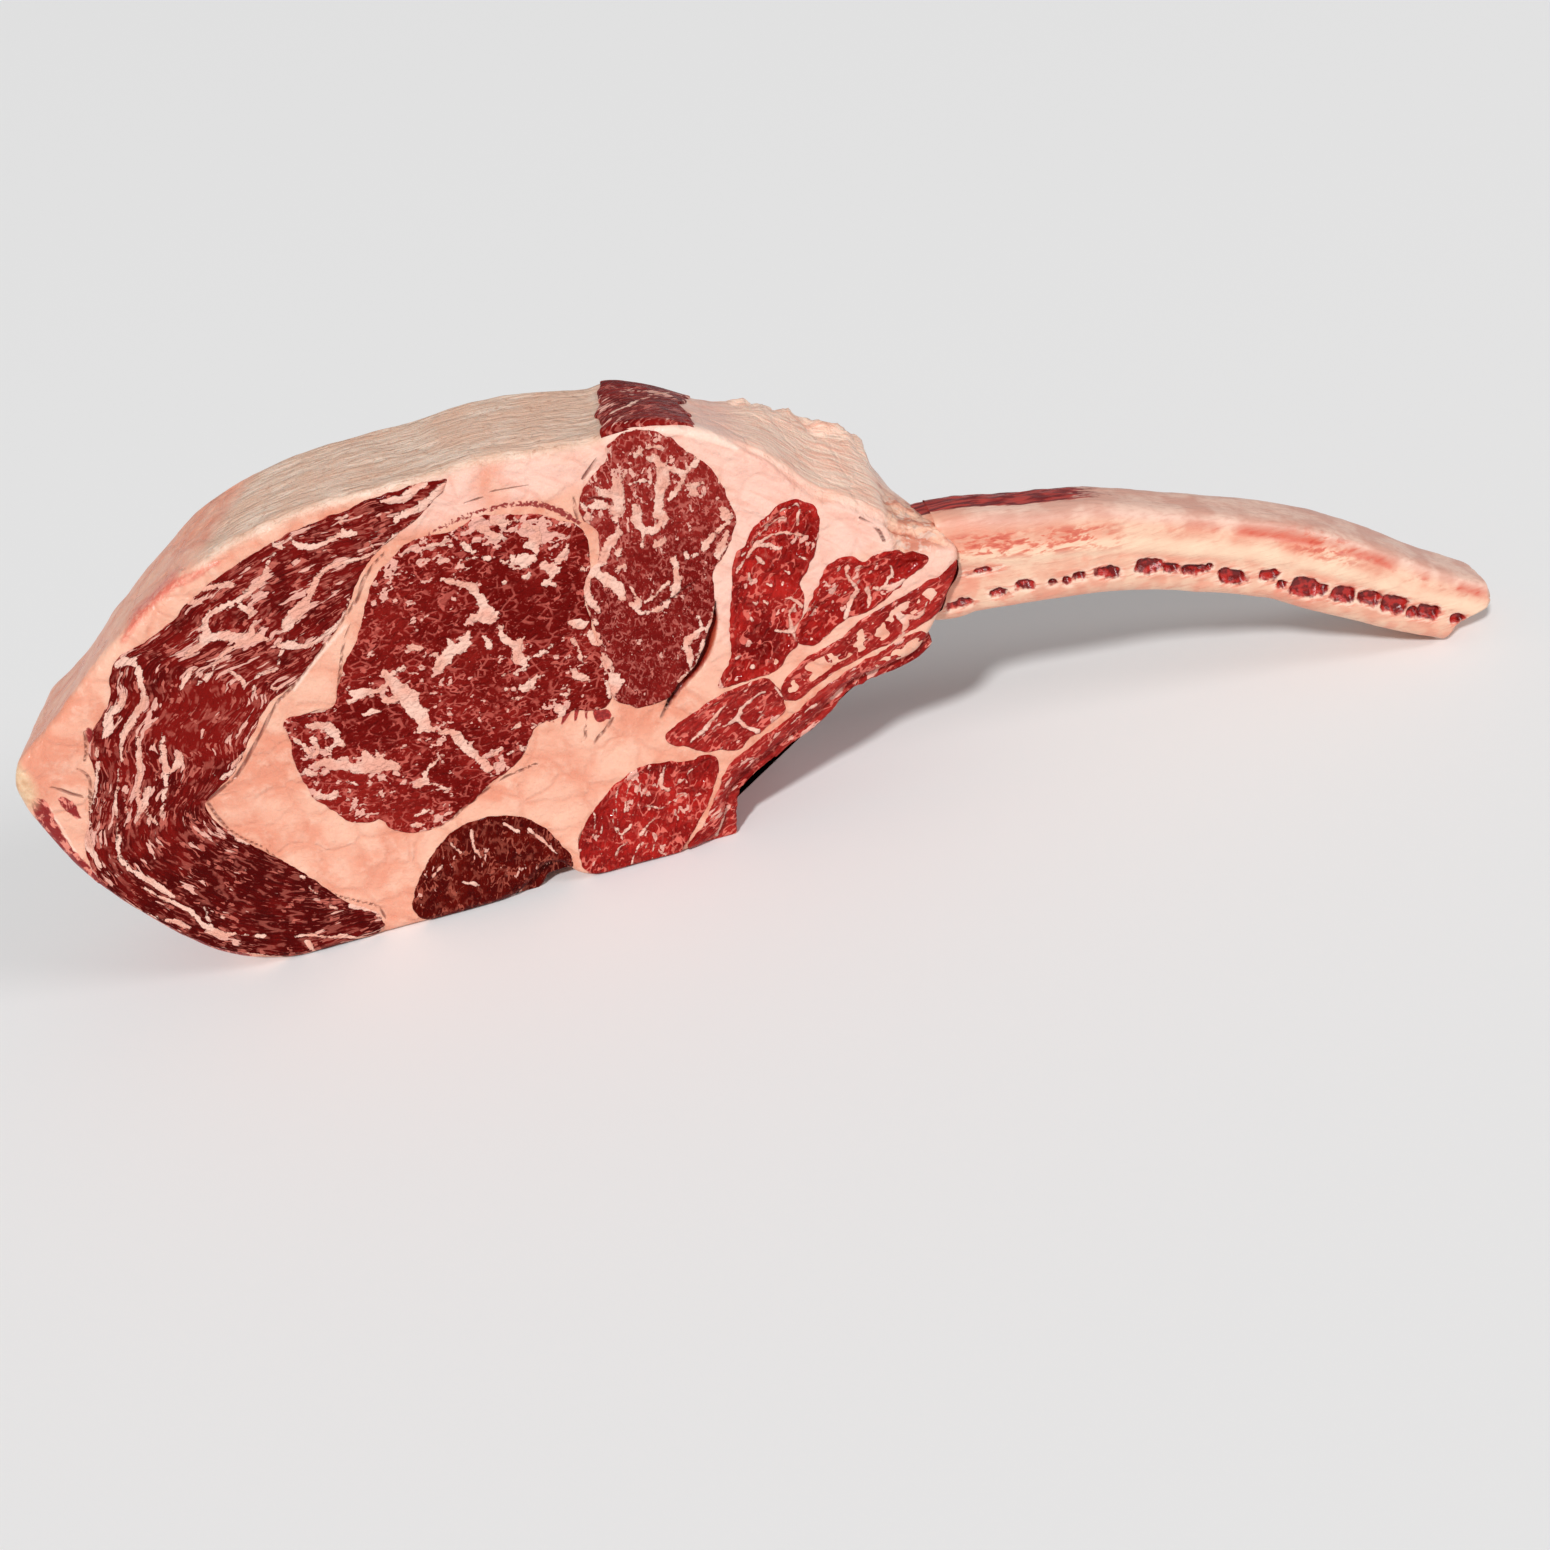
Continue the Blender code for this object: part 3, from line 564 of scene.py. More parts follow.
lines = np.stack([
    strokes(flat, TAILS).reshape(grid.shape[:2]) - HIDDEN * (1 - front),
    strokes(flat, LIPS).reshape(grid.shape[:2]) - HIDDEN * (1 - front),
    from_left,
], -1)
fields = {"zones": zones, "marks": marks, "tear": tear, "tones": tones, "lines": lines}
fat_body = sheet("fat_body_look", grid, fields)


def fat_colour(here):
    """Peach fat with paler and pinker patches."""
    broad = here.noise(22, 3.0).step(0.36, 0.64).mix(tint(238, 178, 152), tint(228, 148, 120))
    return (here.noise(5, 4.0, 0.6).step(0.46, 0.7) * 0.6).mix(broad, tint(242, 192, 168))


def fat_look(flow):
    """Fat: lobes between faint darker walls, their paler middles and darker borders partly painted shading,
    pinker and yellower patches, the dried cap, a pale flap partly painted light, red tissue, creases with
    painted shade, the open tear shaded with paint and painted highlights along the raised lips."""
    here = flow.units()
    cap, raw, membrane = flow.parts("zones")
    crease, knob, flap = flow.parts("marks")
    fine = here.noise(5, 4.0, 0.6)
    lobe = here.pushed(9, 3.0).stretched((1, 0.6, 1)).walls(13)
    small = here.pushed(4, 1.6).stretched((1, 0.6, 1)).walls(5)
    pale, arc, tendon = flow.parts("tones")
    tail, lip_highlight, from_left = flow.parts("lines")
    colour = fat_colour(here)
    # Darker borders and paler middles of the lobes: partly their own tone, partly painted shading of their
    # bulge
    colour = (lobe.step(1.6, 0.2) * 0.34).mix(colour, tint(228, 150, 122))
    colour = (lobe.step(2.0, 4.4) * 0.4).mix(colour, tint(246, 196, 170))
    colour = ((pale * 0.75) * here.noise(15, 3.0).step(0.2, 0.5)).mix(colour, tint(248, 206, 190))
    bands = here.slanted(-42, 7).pushed(5, 1.2).noise(3.4, 3.0, 0.55)
    colour = (pale * bands.step(0.5, 0.66) * 0.55).mix(colour, tint(238, 172, 152))
    # A painted highlight along the crest of each raised lip
    colour = (lip_highlight.step(-0.5, 0.2) * 0.7).mix(colour, tint(252, 218, 200))
    wall = lobe.step(0.9, 0.1) * here.noise(11).step(0.42, 0.6)
    wall = wall.most(small.step(0.4, 0.0) * here.noise(16).step(0.55, 0.7) * 0.6)
    colour = (wall * 0.16).mix(colour, tint(206, 118, 92))
    strand = here.pushed(6, 1.5).stretched((0.12, 1, 0.12)).noise(1.6, 4.0, 0.6)
    dried = strand.step(0.36, 0.66).mix(tint(238, 210, 190), tint(216, 176, 152))
    dried = (here.noise(18, 3.0).step(0.42, 0.62) * 0.6).mix(dried, tint(226, 180, 154))
    dried = (here.pushed(5, 2).noise(2.2, 4.0, 0.7).step(0.56, 0.66) * 0.5).mix(dried, tint(186, 132, 106))
    colour = cap.mix(colour, dried)
    # The flap's pale cream tone is partly its own colour and partly painted light on its upturned, well lit
    # face
    flap_tone_and_light = strand.step(0.4, 0.66).mix(tint(255, 220, 198), tint(248, 190, 166))
    flap_tone_and_light = (here.noise(9, 3.0).step(0.52, 0.7) * 0.5).mix(flap_tone_and_light, tint(236, 168, 140))
    colour = (flap * 0.9).mix(colour, flap_tone_and_light)
    torn = here.pushed(3, 1.2).noise(2.4, 4.0, 0.65)
    red = torn.step(0.42, 0.62).mix(tint(222, 96, 78), tint(240, 158, 134))
    colour = ((raw + (torn - 0.5) * 1.4).step(-0.05, 0.35) * 0.85).mix(colour, red)
    streak = here.pushed(7, 2.0).stretched((0.5, 0.15, 0.22)).noise(1.0, 4.0, 0.6)
    skin = streak.step(0.5, 0.58).mix(tint(138, 12, 10), tint(228, 134, 116))
    colour = (membrane + (streak - 0.5) * 1.4).step(-0.05, 0.2).mix(colour, skin)
    strand_red = here.noise(1.1, 3.0).step(0.46, 0.6).mix(tint(136, 16, 12), tint(176, 44, 38))
    colour = (tail + (fine - 0.5) * 0.8).step(-0.1, 0.2).mix(colour, strand_red)
    glue = here.noise(6, 3.0).step(0.42, 0.58).mix(tint(206, 124, 98), tint(242, 190, 162))
    glue = (here.pushed(3, 1.2).noise(3.2, 3.0).step(0.5, 0.6) * 0.8).mix(glue, tint(224, 192, 174))
    glue = (here.pushed(3, 1.4).walls(7).step(0.5, 0.0) * 0.3).mix(glue, tint(160, 78, 58))
    colour = (tendon * 0.9).mix(colour, glue)
    dashed = (arc + (here.noise(0.9, 2.0) - 0.5) * 2.2).step(-0.25, 0.2)
    colour = dashed.mix(colour, tint(146, 42, 36))
    colour = knob.mix(colour, (fine.step(0.35, 0.65)).mix(tint(232, 196, 160), tint(208, 158, 120)))
    # Painted shade: the creases and the wedge's seams are darkened red-brown where a fold or a raised lip
    # would shade the fat
    dark = (crease + (fine - 0.5) * 0.7).step(-0.35, 0.35)
    colour = (dark * 0.8).mix(colour, tint(128, 42, 30))
    # The open tear is shaded with paint: near black at its deep left edge, then its own red-brown tissue and
    # an orange rim
    open_tear = (flow.field("tear") + (fine - 0.5) * 0.5).step(-0.5, 0.3)
    inner = (from_left + (fine - 0.5) * 1.2).step(0.2, 2.4).mix(tint(48, 6, 4), tint(150, 30, 16))
    inner = (from_left + (fine - 0.5) * 1.2).step(1.8, 4.0).mix(inner, tint(206, 112, 80))
    colour = open_tear.mix(colour, inner)
    height = fine * 0.5 + lobe.step(0.0, 1.4) * 0.22 + strand * (cap + flap * 0.6 + 0.1)
    height = height + torn * raw.step(0, 0.5) * 0.8
    grease = here.noise(2.0, 3.0, 0.6) * 0.5
    bump = flow.node("Bump", {0: 0.8, 1: 0.0012, "Height": height + grease - dark * 0.8})
    return {"Base Color": colour, "Roughness": fine * 0.3 + 0.2 + cap * 0.1 - wall * 0.08, "Normal": bump}


FAT = surface(
    "fat_surface", fat_look, IOR=1.45,
    Subsurface_Weight=0.12, Subsurface_Radius=(1.0, 0.45, 0.3), Subsurface_Scale=0.0025,
)
fat_body.data.materials.append(FAT)
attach(fat_body, "root")
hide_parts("fat_body")

# The muscles. Each runs through the slab as a wet, dark red bundle of fibres, and shows on both faces with
# the fat that grew between its fibre bundles: streaks, finer veins and specks.

PROUD = 0.35  # how far the lean stands out of the fat
LEAN_RIM = 1.1  # radius of a muscle's rounded edge
OTHER_FACE = 60.0  # added to the grain on the back face, so that its marbling is its own


def muscle(
    name, points, centre, columns, rows, streaks, fatty, grain,
    spine_end=None, seed=0, reach=None, relief=0.2, lump=5.0, clefts=(), warm=None,
):
    """A slab round a ragged outline, shrunk to a centre or a short spine on both faces. Its fields are the
    laid fat as strokes, its clefts as strokes, how fatty and how warm in colour it is, and the place
    along and across its grain. Reach gives the depths of a muscle that lies on one face alone."""
    outline = flowing(points, columns)
    walk = np.arange(columns) / columns
    ring = np.stack([outline[:, 0], outline[:, 1], 0 * walk], -1)
    outline = outline + outward(outline) * (0.8 + dapple(ring, 3.4, seed + 3, 3) * 0.9)[:, None]
    outline[:, 1] = np.maximum(outline[:, 1], 0.0)
    spine = to_spine(outline, centre, spine_end if spine_end else (centre[0] + 1e-3, centre[1]))
    ahead, behind = reach if reach else (-FAT_FACE - PROUD, FAT_FACE + PROUD)
    grid, facing, profile = wrap_round(outline, LEAN_RIM, ahead, behind, rows, rows * 2 // 3, 6, spine)
    flat = grid[..., ::2].reshape(-1, 2)
    turned = turned_rim(flat).reshape(grid.shape[:2])
    laid = strokes(flat, streaks, 20).reshape(grid.shape[:2])
    rim = depth_in(flat, outline[::2]).reshape(grid.shape[:2])
    lumps = dapple(grid, lump, seed + 1, 2) * relief + dapple(grid, lump * 0.4, seed + 2) * relief * 0.45
    cleft = strokes(flat, clefts, 30).reshape(grid.shape[:2])
    inner = smooth(rim, 1.2, 3.2) if relief > 0.3 else 1.0
    push = (lumps - max(relief - 0.2, 0) * 0.9) * inner + 0.16 * smooth(laid, -0.8, 0.6) - 0.1
    push = push - 0.9 * smooth(cleft, -0.5, 0.5)
    grid[..., 1] -= np.sign(grid[..., 1]) * turned * (np.abs(grid[..., 1]) > FAT_FACE - 1.5)
    grid = set_back(grid + facing * (push * (np.abs(profile - 1.5) > 0.5))[..., None])
    grid[..., 2] = np.maximum(grid[..., 2], 0.0)
    grid[..., 1] = np.clip(grid[..., 1], -FACE, FACE)
    back = (grid[..., 1] > 0) * OTHER_FACE
    along, across = grain(grid[..., 0], grid[..., 2])
    fields = {
        "laid": laid,
        "fatty": fatty(grid[..., 0], grid[..., 2]),
        "warm": warm(grid[..., 0], grid[..., 2]) if warm else 0.5 + 0 * laid,
        "cleft": cleft,
        "rim": rim,
        "grain": np.stack([along + back, grid[..., 1] * 0.3, across + back], -1),
    }
    made = sheet(name, grid, fields)
    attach(made, "root")
    return made


def lean_look(deep, bright, scale, stretch, amount, vein_tone, ragged=1.0, web=0.5, fatten=0.12):
    """Lean meat, red between deep and bright. Its fat is the laid strokes with ragged edges, lobed flecks
    along the grain where drawn-out noise is high, thin curved veins where noise is near its middle value, a
    web of thin walls between fibre bundles, both let through in patches, and specks."""

    def build(flow):
        here = flow.units()
        grain = flow.field("grain", 1)
        along = grain.stretched((1 / stretch, 1, 1)).pushed(scale * 1.5, scale * 0.32)
        laid, fatty, rim = flow.field("laid"), flow.field("fatty"), flow.field("rim")
        rough = here.pushed(1.4, 0.8).noise(1.9, 3.0, 0.6)
        lobed = along.noise(scale * 0.55, 2.0, 0.55)
        inside = (laid + fatten).most(fatten - 0.22 - rim)
        mass = inside + (rough - 0.5) * 3.2 * ragged + (lobed - 0.5) * 2.4 * ragged
        patch = here.noise(scale * 2.4, 2.0)
        near = ((laid + 2.6) * 0.4).most(0.0).least(1.0)
        fleck = lobed + (patch - 0.5) * 0.6 + (fatty - 0.5) * 0.2 + near * 0.05
        fleck = fleck.step(0.70 - amount * 0.08, 0.72 - amount * 0.08)
        curve = along.stretched((1, 1, 1), (31, 7, 13)).noise(scale * 0.8, 2.0, 0.5) - 0.5
        gate = here.noise(scale * 0.9, 2.0) + (patch - 0.5) * 0.6 + (fatty - 0.5) * 0.2
        vein = (0.034 - curve.math("ABSOLUTE", curve)).step(-0.004, 0.01) * gate.step(0.5, 0.55)
        cells = along.stretched((1, 1, 1), (5, 3, 11)).walls(scale * 0.7)
        net = cells.step(0.3, 0.14) * here.noise(scale * 1.1, 2.0).step(0.47, 0.6)
        speck = along.stretched((1, 1, 1), (3, 53, 29)).noise(scale * 0.17, 2.0, 0.5)
        speck = (speck + (patch - 0.5) * 0.2).step(0.63, 0.66)
        fibre = grain.stretched((1 / (stretch * 2.2), 1, 1)).noise(scale * 0.16, 3.0, 0.6)
        fat = mass.step(-0.12, 0.14)
        red = here.noise(scale * 2.6, 3.0) * 0.9 + fibre * 0.6 - 0.25 + (flow.field("warm") - 0.5) * 0.8
        colour = red.step(0.24, 0.76).mix(deep, bright)
        colour = (net * web).mix(colour, vein_tone)
        colour = (speck * 0.45).mix(colour, vein_tone)
        colour = (vein * 0.85).mix(colour, vein_tone)
        colour = (fleck * 0.95).mix(colour, tint(236, 174, 158))
        colour = fat.mix(colour, patch.step(0.4, 0.6).mix(tint(244, 196, 178), tint(236, 170, 150)))
        # Painted shade: the clefts are darkened almost to black
        cleft = (flow.field("cleft") + (rough - 0.5) * 0.9).step(-0.2, 0.4) * 0.85
        colour = cleft.mix(colour, tint(62, 16, 12))
        height = fat * 0.5 + fleck * 0.3 + vein * 0.2 + fibre * 0.3
        height = height + cells.step(0.0, 0.9) * 0.45 + here.noise(1.2, 3.0, 0.6)
        bump = flow.node("Bump", {0: 0.75, 1: 0.0010, "Height": height})
        return {"Base Color": colour, "Roughness": 0.24 + fibre * 0.16 + fat * 0.18, "Normal": bump}

    return build


WET = dict(Coat_Weight=0.05, Coat_Roughness=0.08, IOR=1.4, Specular_IOR_Level=0.03)

# The outer muscle curls from the top of the steak round its left side to the resting edge
CAP_OUTER = (
    (-97, 149.5), (-104, 150.5), (-113, 150.5), (-121, 150), (-130, 148.5), (-141, 147.5), (-152, 145.5),
    (-162, 142.5), (-172, 139), (-181, 135), (-190, 129.5), (-200, 125), (-210, 122.5), (-215, 117),
    (-219, 108), (-226, 102), (-231, 94), (-233, 84), (-239, 74), (-245, 63), (-247, 54), (-244.5, 44),
    (-239, 35), (-232, 25.5), (-225, 17), (-216, 9.5), (-206, 4), (-198, 0), (-190, 0), (-178, 0),
    (-169.5, 0),
)
CAP_INNER = (
    (-100, 146), (-107, 141.5), (-117, 136.5), (-127, 131), (-134, 124), (-141, 115), (-151, 107),
    (-160, 99.5), (-172, 94), (-181, 85), (-189, 76), (-196, 70.5), (-203, 66.5), (-203, 60), (-199, 52),
    (-193, 44), (-188, 38), (-182, 30), (-177, 22), (-172, 15), (-166, 10), (-165, 4),
)
CAP_FAT = (
    (
        (-211.2, 120, 1.1), (-206.4, 120.4, 1.4), (-206, 116, 1.1), (-206.8, 112, 0.9), (-207.6, 107.2, 1.1),
        (-210.4, 104, 1.4), (-215.2, 100, 1.4), (-219.2, 96, 0.8),
    ),
    ((-212.8, 110.4, 0.7), (-215.2, 107.2, 1.1), (-220, 104.4, 1.2), (-222, 100.4, 1.8), (-224.4, 98, 0.9)),
    (
        (-202.8, 102.4, 0.5), (-205, 96.8, 0.9), (-207.6, 91.6, 1.2), (-209.2, 86.8, 1.1), (-210.8, 82, 0.9),
        (-213.2, 75.6, 0.7), (-216.4, 70, 0.6), (-218, 66, 0.3),
    ),
    ((-204.4, 86, 0.6), (-206.4, 82.4, 1.5), (-210.8, 79.4, 0.4)),
    (
        (-214.8, 95, 0.7), (-217.2, 87.6, 1.2), (-218.8, 82.8, 0.6), (-221.2, 78, 0.5), (-222.8, 74, 0.9),
        (-223.6, 68.4, 0.4),
    ),
    ((-218.4, 77.2, 0.7), (-220.4, 74, 0.9), (-222, 68.4, 0.5), (-220.8, 63.6, 0.6)),
    ((-219.6, 95.6, 0.3), (-222, 89.2, 0.4), (-223.6, 83.6, 0.3)),
    (
        (-224.4, 86.4, 0.5), (-226, 82, 0.5), (-228.4, 78, 0.5), (-230.8, 72.4, 0.5), (-232.4, 67.6, 0.4),
        (-234, 62, 0.5), (-236, 57.2, 0.9), (-236, 52.4, 1.0), (-234, 48.4, 0.9), (-230.8, 44.4, 1.2),
        (-227.6, 38.8, 1.3), (-226, 36.4, 0.7),
    ),
    ((-230.0, 89.8, 0.5), (-231.6, 85.2, 0.4), (-234.8, 79.6, 0.5), (-238.0, 74.8, 0.5), (-240.4, 69.2, 0.4)),
    ((-227.6, 95.6, 0.4), (-229.2, 91.6, 0.5), (-230, 87.6, 0.3)),
    ((-226.8, 75.6, 0.4), (-227.6, 71.6, 0.4), (-228.4, 67, 0.2)), ((-224.4, 70.4, 0.4), (-226.0, 64.8, 0.3)),
    ((-240.4, 74, 1.2), (-243.6, 66, 2.0), (-243.8, 60, 1.2), (-243.4, 54, 0.4)),
    (
        (-233.2, 42, 0.3), (-230, 37.2, 0.6), (-226, 33.2, 0.9), (-222.8, 29.2, 0.8), (-221.2, 23.6, 0.9),
        (-218.8, 19.6, 1.5), (-216.4, 17.2, 1.4), (-212.4, 16.2, 0.6), (-208.4, 14.4, 0.3),
        (-204.4, 12.8, 0.8),
    ),
    ((-218.4, 29.2, 0.3), (-218.8, 23.6, 0.6), (-218.8, 19.6, 1.0)),
    ((-239.2, 36.4, 0.4), (-233.6, 30.0, 0.5), (-228.8, 26.8, 1.1), (-225.6, 22.8, 0.7)),
    ((-214.2, 24.2, 0.8), (-213.4, 23.6, 0.5)),
    (
        (-195.6, 9.2, 0.4), (-190, 8.4, 0.9), (-185.2, 6, 0.6), (-179.6, 4.4, 0.8), (-174.8, 2, 0.6),
        (-170, 0.4, 0.3),
    ),
    ((-191.6, 6, 1.1), (-190.8, 2, 0.8)),
    ((-217.2, 9.2, 0.4), (-210.8, 6.8, 1.0), (-206, 3.6, 1.5), (-201.2, 0.6, 1.1)),
    (
        (-201.0, 58.4, 0.6), (-198.4, 52.2, 1.8), (-195.2, 48.6, 1.9), (-192.0, 44.0, 0.8),
        (-188.0, 40.4, 0.9), (-186.4, 38.0, 0.5),
    ),
    ((-184.8, 31, 0.6), (-184, 30.4, 0.5)), ((-183.4, 26, 0.3), (-181.6, 21.4, 0.3)),
    ((-179.8, 17.4, 0.9), (-178, 15.6, 0.7)), ((-173.2, 15, 0.9), (-168, 11.8, 1.0), (-165, 8, 0.8)),
    ((-198, 76, 0.5), (-197.2, 74.8, 0.5)), ((-195.6, 73.4, 0.8), (-190.4, 75, 0.8)),
    ((-190.0, 77.4, 0.8), (-186.0, 79.8, 0.5)),
    (
        (-197.2, 101.2, 0.5), (-193.2, 104.4, 0.7), (-188.4, 107.6, 0.9), (-184.4, 110.8, 0.6),
        (-180.4, 113.2, 0.8), (-177.2, 115.6, 0.6), (-173.2, 116.0, 0.7), (-169.2, 116.4, 1.0),
    ),
    ((-196.8, 106.0, 0.4), (-192.8, 110.0, 0.7), (-188.8, 112.4, 0.4)),
    (
        (-190.4, 116.8, 0.9), (-185.6, 119.2, 1.1), (-182.4, 120.8, 1.6), (-181.6, 124.8, 1.2),
        (-180.8, 127.2, 1.0), (-176.8, 128.8, 0.9), (-170.4, 130, 1.1), (-164.8, 132, 1.0),
        (-160.8, 133.6, 0.9), (-158.4, 135.2, 0.9), (-156.8, 139.2, 0.8), (-153.6, 141.2, 0.5),
    ),
    ((-181.6, 120.8, 1.4), (-176.8, 120, 1.8), (-172, 117.6, 2.0), (-168, 116.8, 1.6), (-165.6, 115.2, 0.8)),
    ((-169.2, 118.8, 1.2), (-166.8, 121.6, 0.4)), ((-168.8, 128, 0.9), (-167.2, 124.8, 1.2)),
    (
        (-158.4, 117.6, 1.6), (-156, 120, 2.0), (-152, 122.4, 1.9), (-148, 125.6, 1.4), (-145.6, 128.8, 1.1),
        (-143.2, 131.2, 0.8), (-139.2, 132.8, 0.6), (-133.6, 132.8, 0.5), (-128, 132.8, 0.5),
        (-124.8, 133.6, 0.7),
    ),
    (
        (-162.4, 112, 1.2), (-159.2, 111.6, 1.9), (-156, 109.6, 0.8), (-151.2, 110.4, 0.7),
        (-146.4, 112.4, 0.9), (-142.4, 114.6, 0.8), (-139.2, 118.4, 0.5), (-136.8, 122, 0.5),
    ),
    (
        (-162.4, 110.4, 0.7), (-164.8, 107.2, 0.4), (-167.2, 104, 0.35), (-172, 104.8, 0.3),
        (-175.2, 100, 0.6), (-177.6, 96.8, 0.5), (-179.2, 92.8, 0.7), (-180, 88, 1.1),
    ),
    ((-180, 108, 0.4), (-177.6, 104, 1.0), (-178.4, 100, 0.6)), ((-169.6, 99, 0.9), (-168.2, 98.6, 0.6)),
    ((-180.6, 136.4, 0.8), (-174, 136.6, 1.2), (-168.8, 135.4, 1.0)),
    ((-183.6, 134.4, 1.4), (-180, 132.4, 0.8)), ((-152.6, 144.4, 0.9), (-150.4, 142.4, 0.9)),
    (
        (-147.2, 144.8, 0.6), (-145.6, 141.6, 1.2), (-140.8, 140.4, 0.9), (-135.2, 141.2, 0.7),
        (-131.2, 141.6, 1.2), (-128.8, 140.8, 0.8),
    ),
    ((-132, 142.8, 0.5), (-131.2, 146, 0.5), (-129.6, 147.2, 0.5)),
    ((-124.8, 134, 0.5), (-125.6, 136.8, 0.5), (-124, 139.2, 0.4), (-119.2, 140, 0.3)),
    ((-126.0, 133.2, 0.6), (-122.0, 134.8, 0.5), (-117.2, 137.2, 0.5), (-110.8, 139.2, 0.4)),
    ((-116, 141.6, 0.7), (-109.6, 143.4, 1.2), (-104.8, 145, 1.2), (-100, 147.4, 1.1), (-97.6, 148.2, 0.7)),
    ((-117.6, 148.4, 0.9), (-112, 147.6, 1.6), (-108, 149.2, 1.4), (-104, 150, 0.7)),
)
length, breadth = 420, 66
outer = flowing(CAP_OUTER, length, closed=False)
inner = flowing(CAP_INNER, length, closed=False)
middle = (outer + inner) / 2
walk = np.concatenate([[0], np.cumsum(np.linalg.norm(np.diff(middle, axis=0), axis=1))])
edge = np.concatenate([outer, inner[::-1]])
ring = np.concatenate([edge, np.zeros((len(edge), 1))], 1)
edge = edge + outward(edge) * (dapple(ring, 3.2, 43, 3) * 0.7)[:, None]
outer, inner = edge[:length], edge[length:][::-1]


def between(outer, inner, rows, face):
    """A slab between two edges: each row lies straight from one to the other, with its rim turned down by a
    quarter circle, and the far face is the near one run backwards."""
    eased = (1 - np.cos(np.linspace(0, np.pi, rows))) * 0.25 + np.linspace(0, 0.5, rows)
    share = np.concatenate([[0], eased, [1]])
    flat = outer[None] + (inner - outer)[None] * share[:, None, None]
    width = np.linalg.norm(inner - outer, axis=1)[None] * np.minimum(share, 1 - share)[:, None]
    ends = np.minimum(np.arange(len(outer)), np.arange(len(outer))[::-1])[None] * 0.7
    off = np.clip(LEAN_RIM - np.minimum(width, ends), 0, LEAN_RIM)
    drop = LEAN_RIM - np.sqrt(np.maximum(LEAN_RIM**2 - off**2, 0))
    drop[0] = drop[-1] = 3.0
    near = np.stack([flat[..., 0], -face + drop, flat[..., 1]], -1)
    far = near[::-1] * [1, -1, 1]
    return np.concatenate([near, far])


grid = between(outer, inner, breadth, FAT_FACE + 0.2)
grid[..., 2] = np.maximum(grid[..., 2], 0.0)
flat = grid[..., ::2].reshape(-1, 2)
turned = turned_rim(flat).reshape(grid.shape[:2])
laid = strokes(flat, CAP_FAT).reshape(grid.shape[:2])
rim = depth_in(flat, edge[::3]).reshape(grid.shape[:2])
push = dapple(grid, 6, 44, 2) * 0.18 + dapple(grid, 2.2, 45) * 0.08 + 0.16 * smooth(laid, -0.8, 0.6) - 0.05
grid[..., 1] -= np.sign(grid[..., 1]) * (turned - push)
grid = set_back(grid)
grid[..., 1] = np.clip(grid[..., 1], -FACE, FACE)
x, z = grid[..., 0], grid[..., 2]
far_side = (grid[..., 1] > 0) * OTHER_FACE
across = np.concatenate([np.linspace(0, 1, breadth + 2), np.linspace(1, 0, breadth + 2)])[:, None]
width = np.linalg.norm(inner - outer, axis=1)
upper = smooth(walk, 190, 150)[None] * np.ones_like(x)
blob = smooth(np.hypot((x + 191) * 0.8, (z - 94)), 15, 9)
fields = {
    "laid": laid - 2.2 * blob,
    "fatty": 0.3 + upper * 0.35 * (1 - blob),
    "warm": 0.28 + 0.75 * blob + 0.25 * upper,
    "cleft": NONE_NEAR + 0 * x,
    "rim": rim,
    "grain": np.stack([
        walk[None] * np.ones_like(x) + far_side, grid[..., 1] * 0.3, across * width[None] + far_side
    ], -1),
}
cap_muscle = sheet("cap_muscle_look", grid, fields, wrap=False)
CAP_LEAN = surface(
    "cap_lean",
    lean_look(tint(76, 1, 0), tint(126, 18, 13), 3.4, 5.0, 0.55, tint(198, 104, 90), 0.8, 0.4, -0.12),
    **WET,
)
cap_muscle.data.materials.append(CAP_LEAN)
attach(cap_muscle, "root")
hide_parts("cap_muscle")


def straight_grain(degrees):
    """A grain that runs straight across the face at this angle."""
    turn = np.radians(degrees)
    return lambda x, z: (x * np.cos(turn) + z * np.sin(turn), -x * np.sin(turn) + z * np.cos(turn))


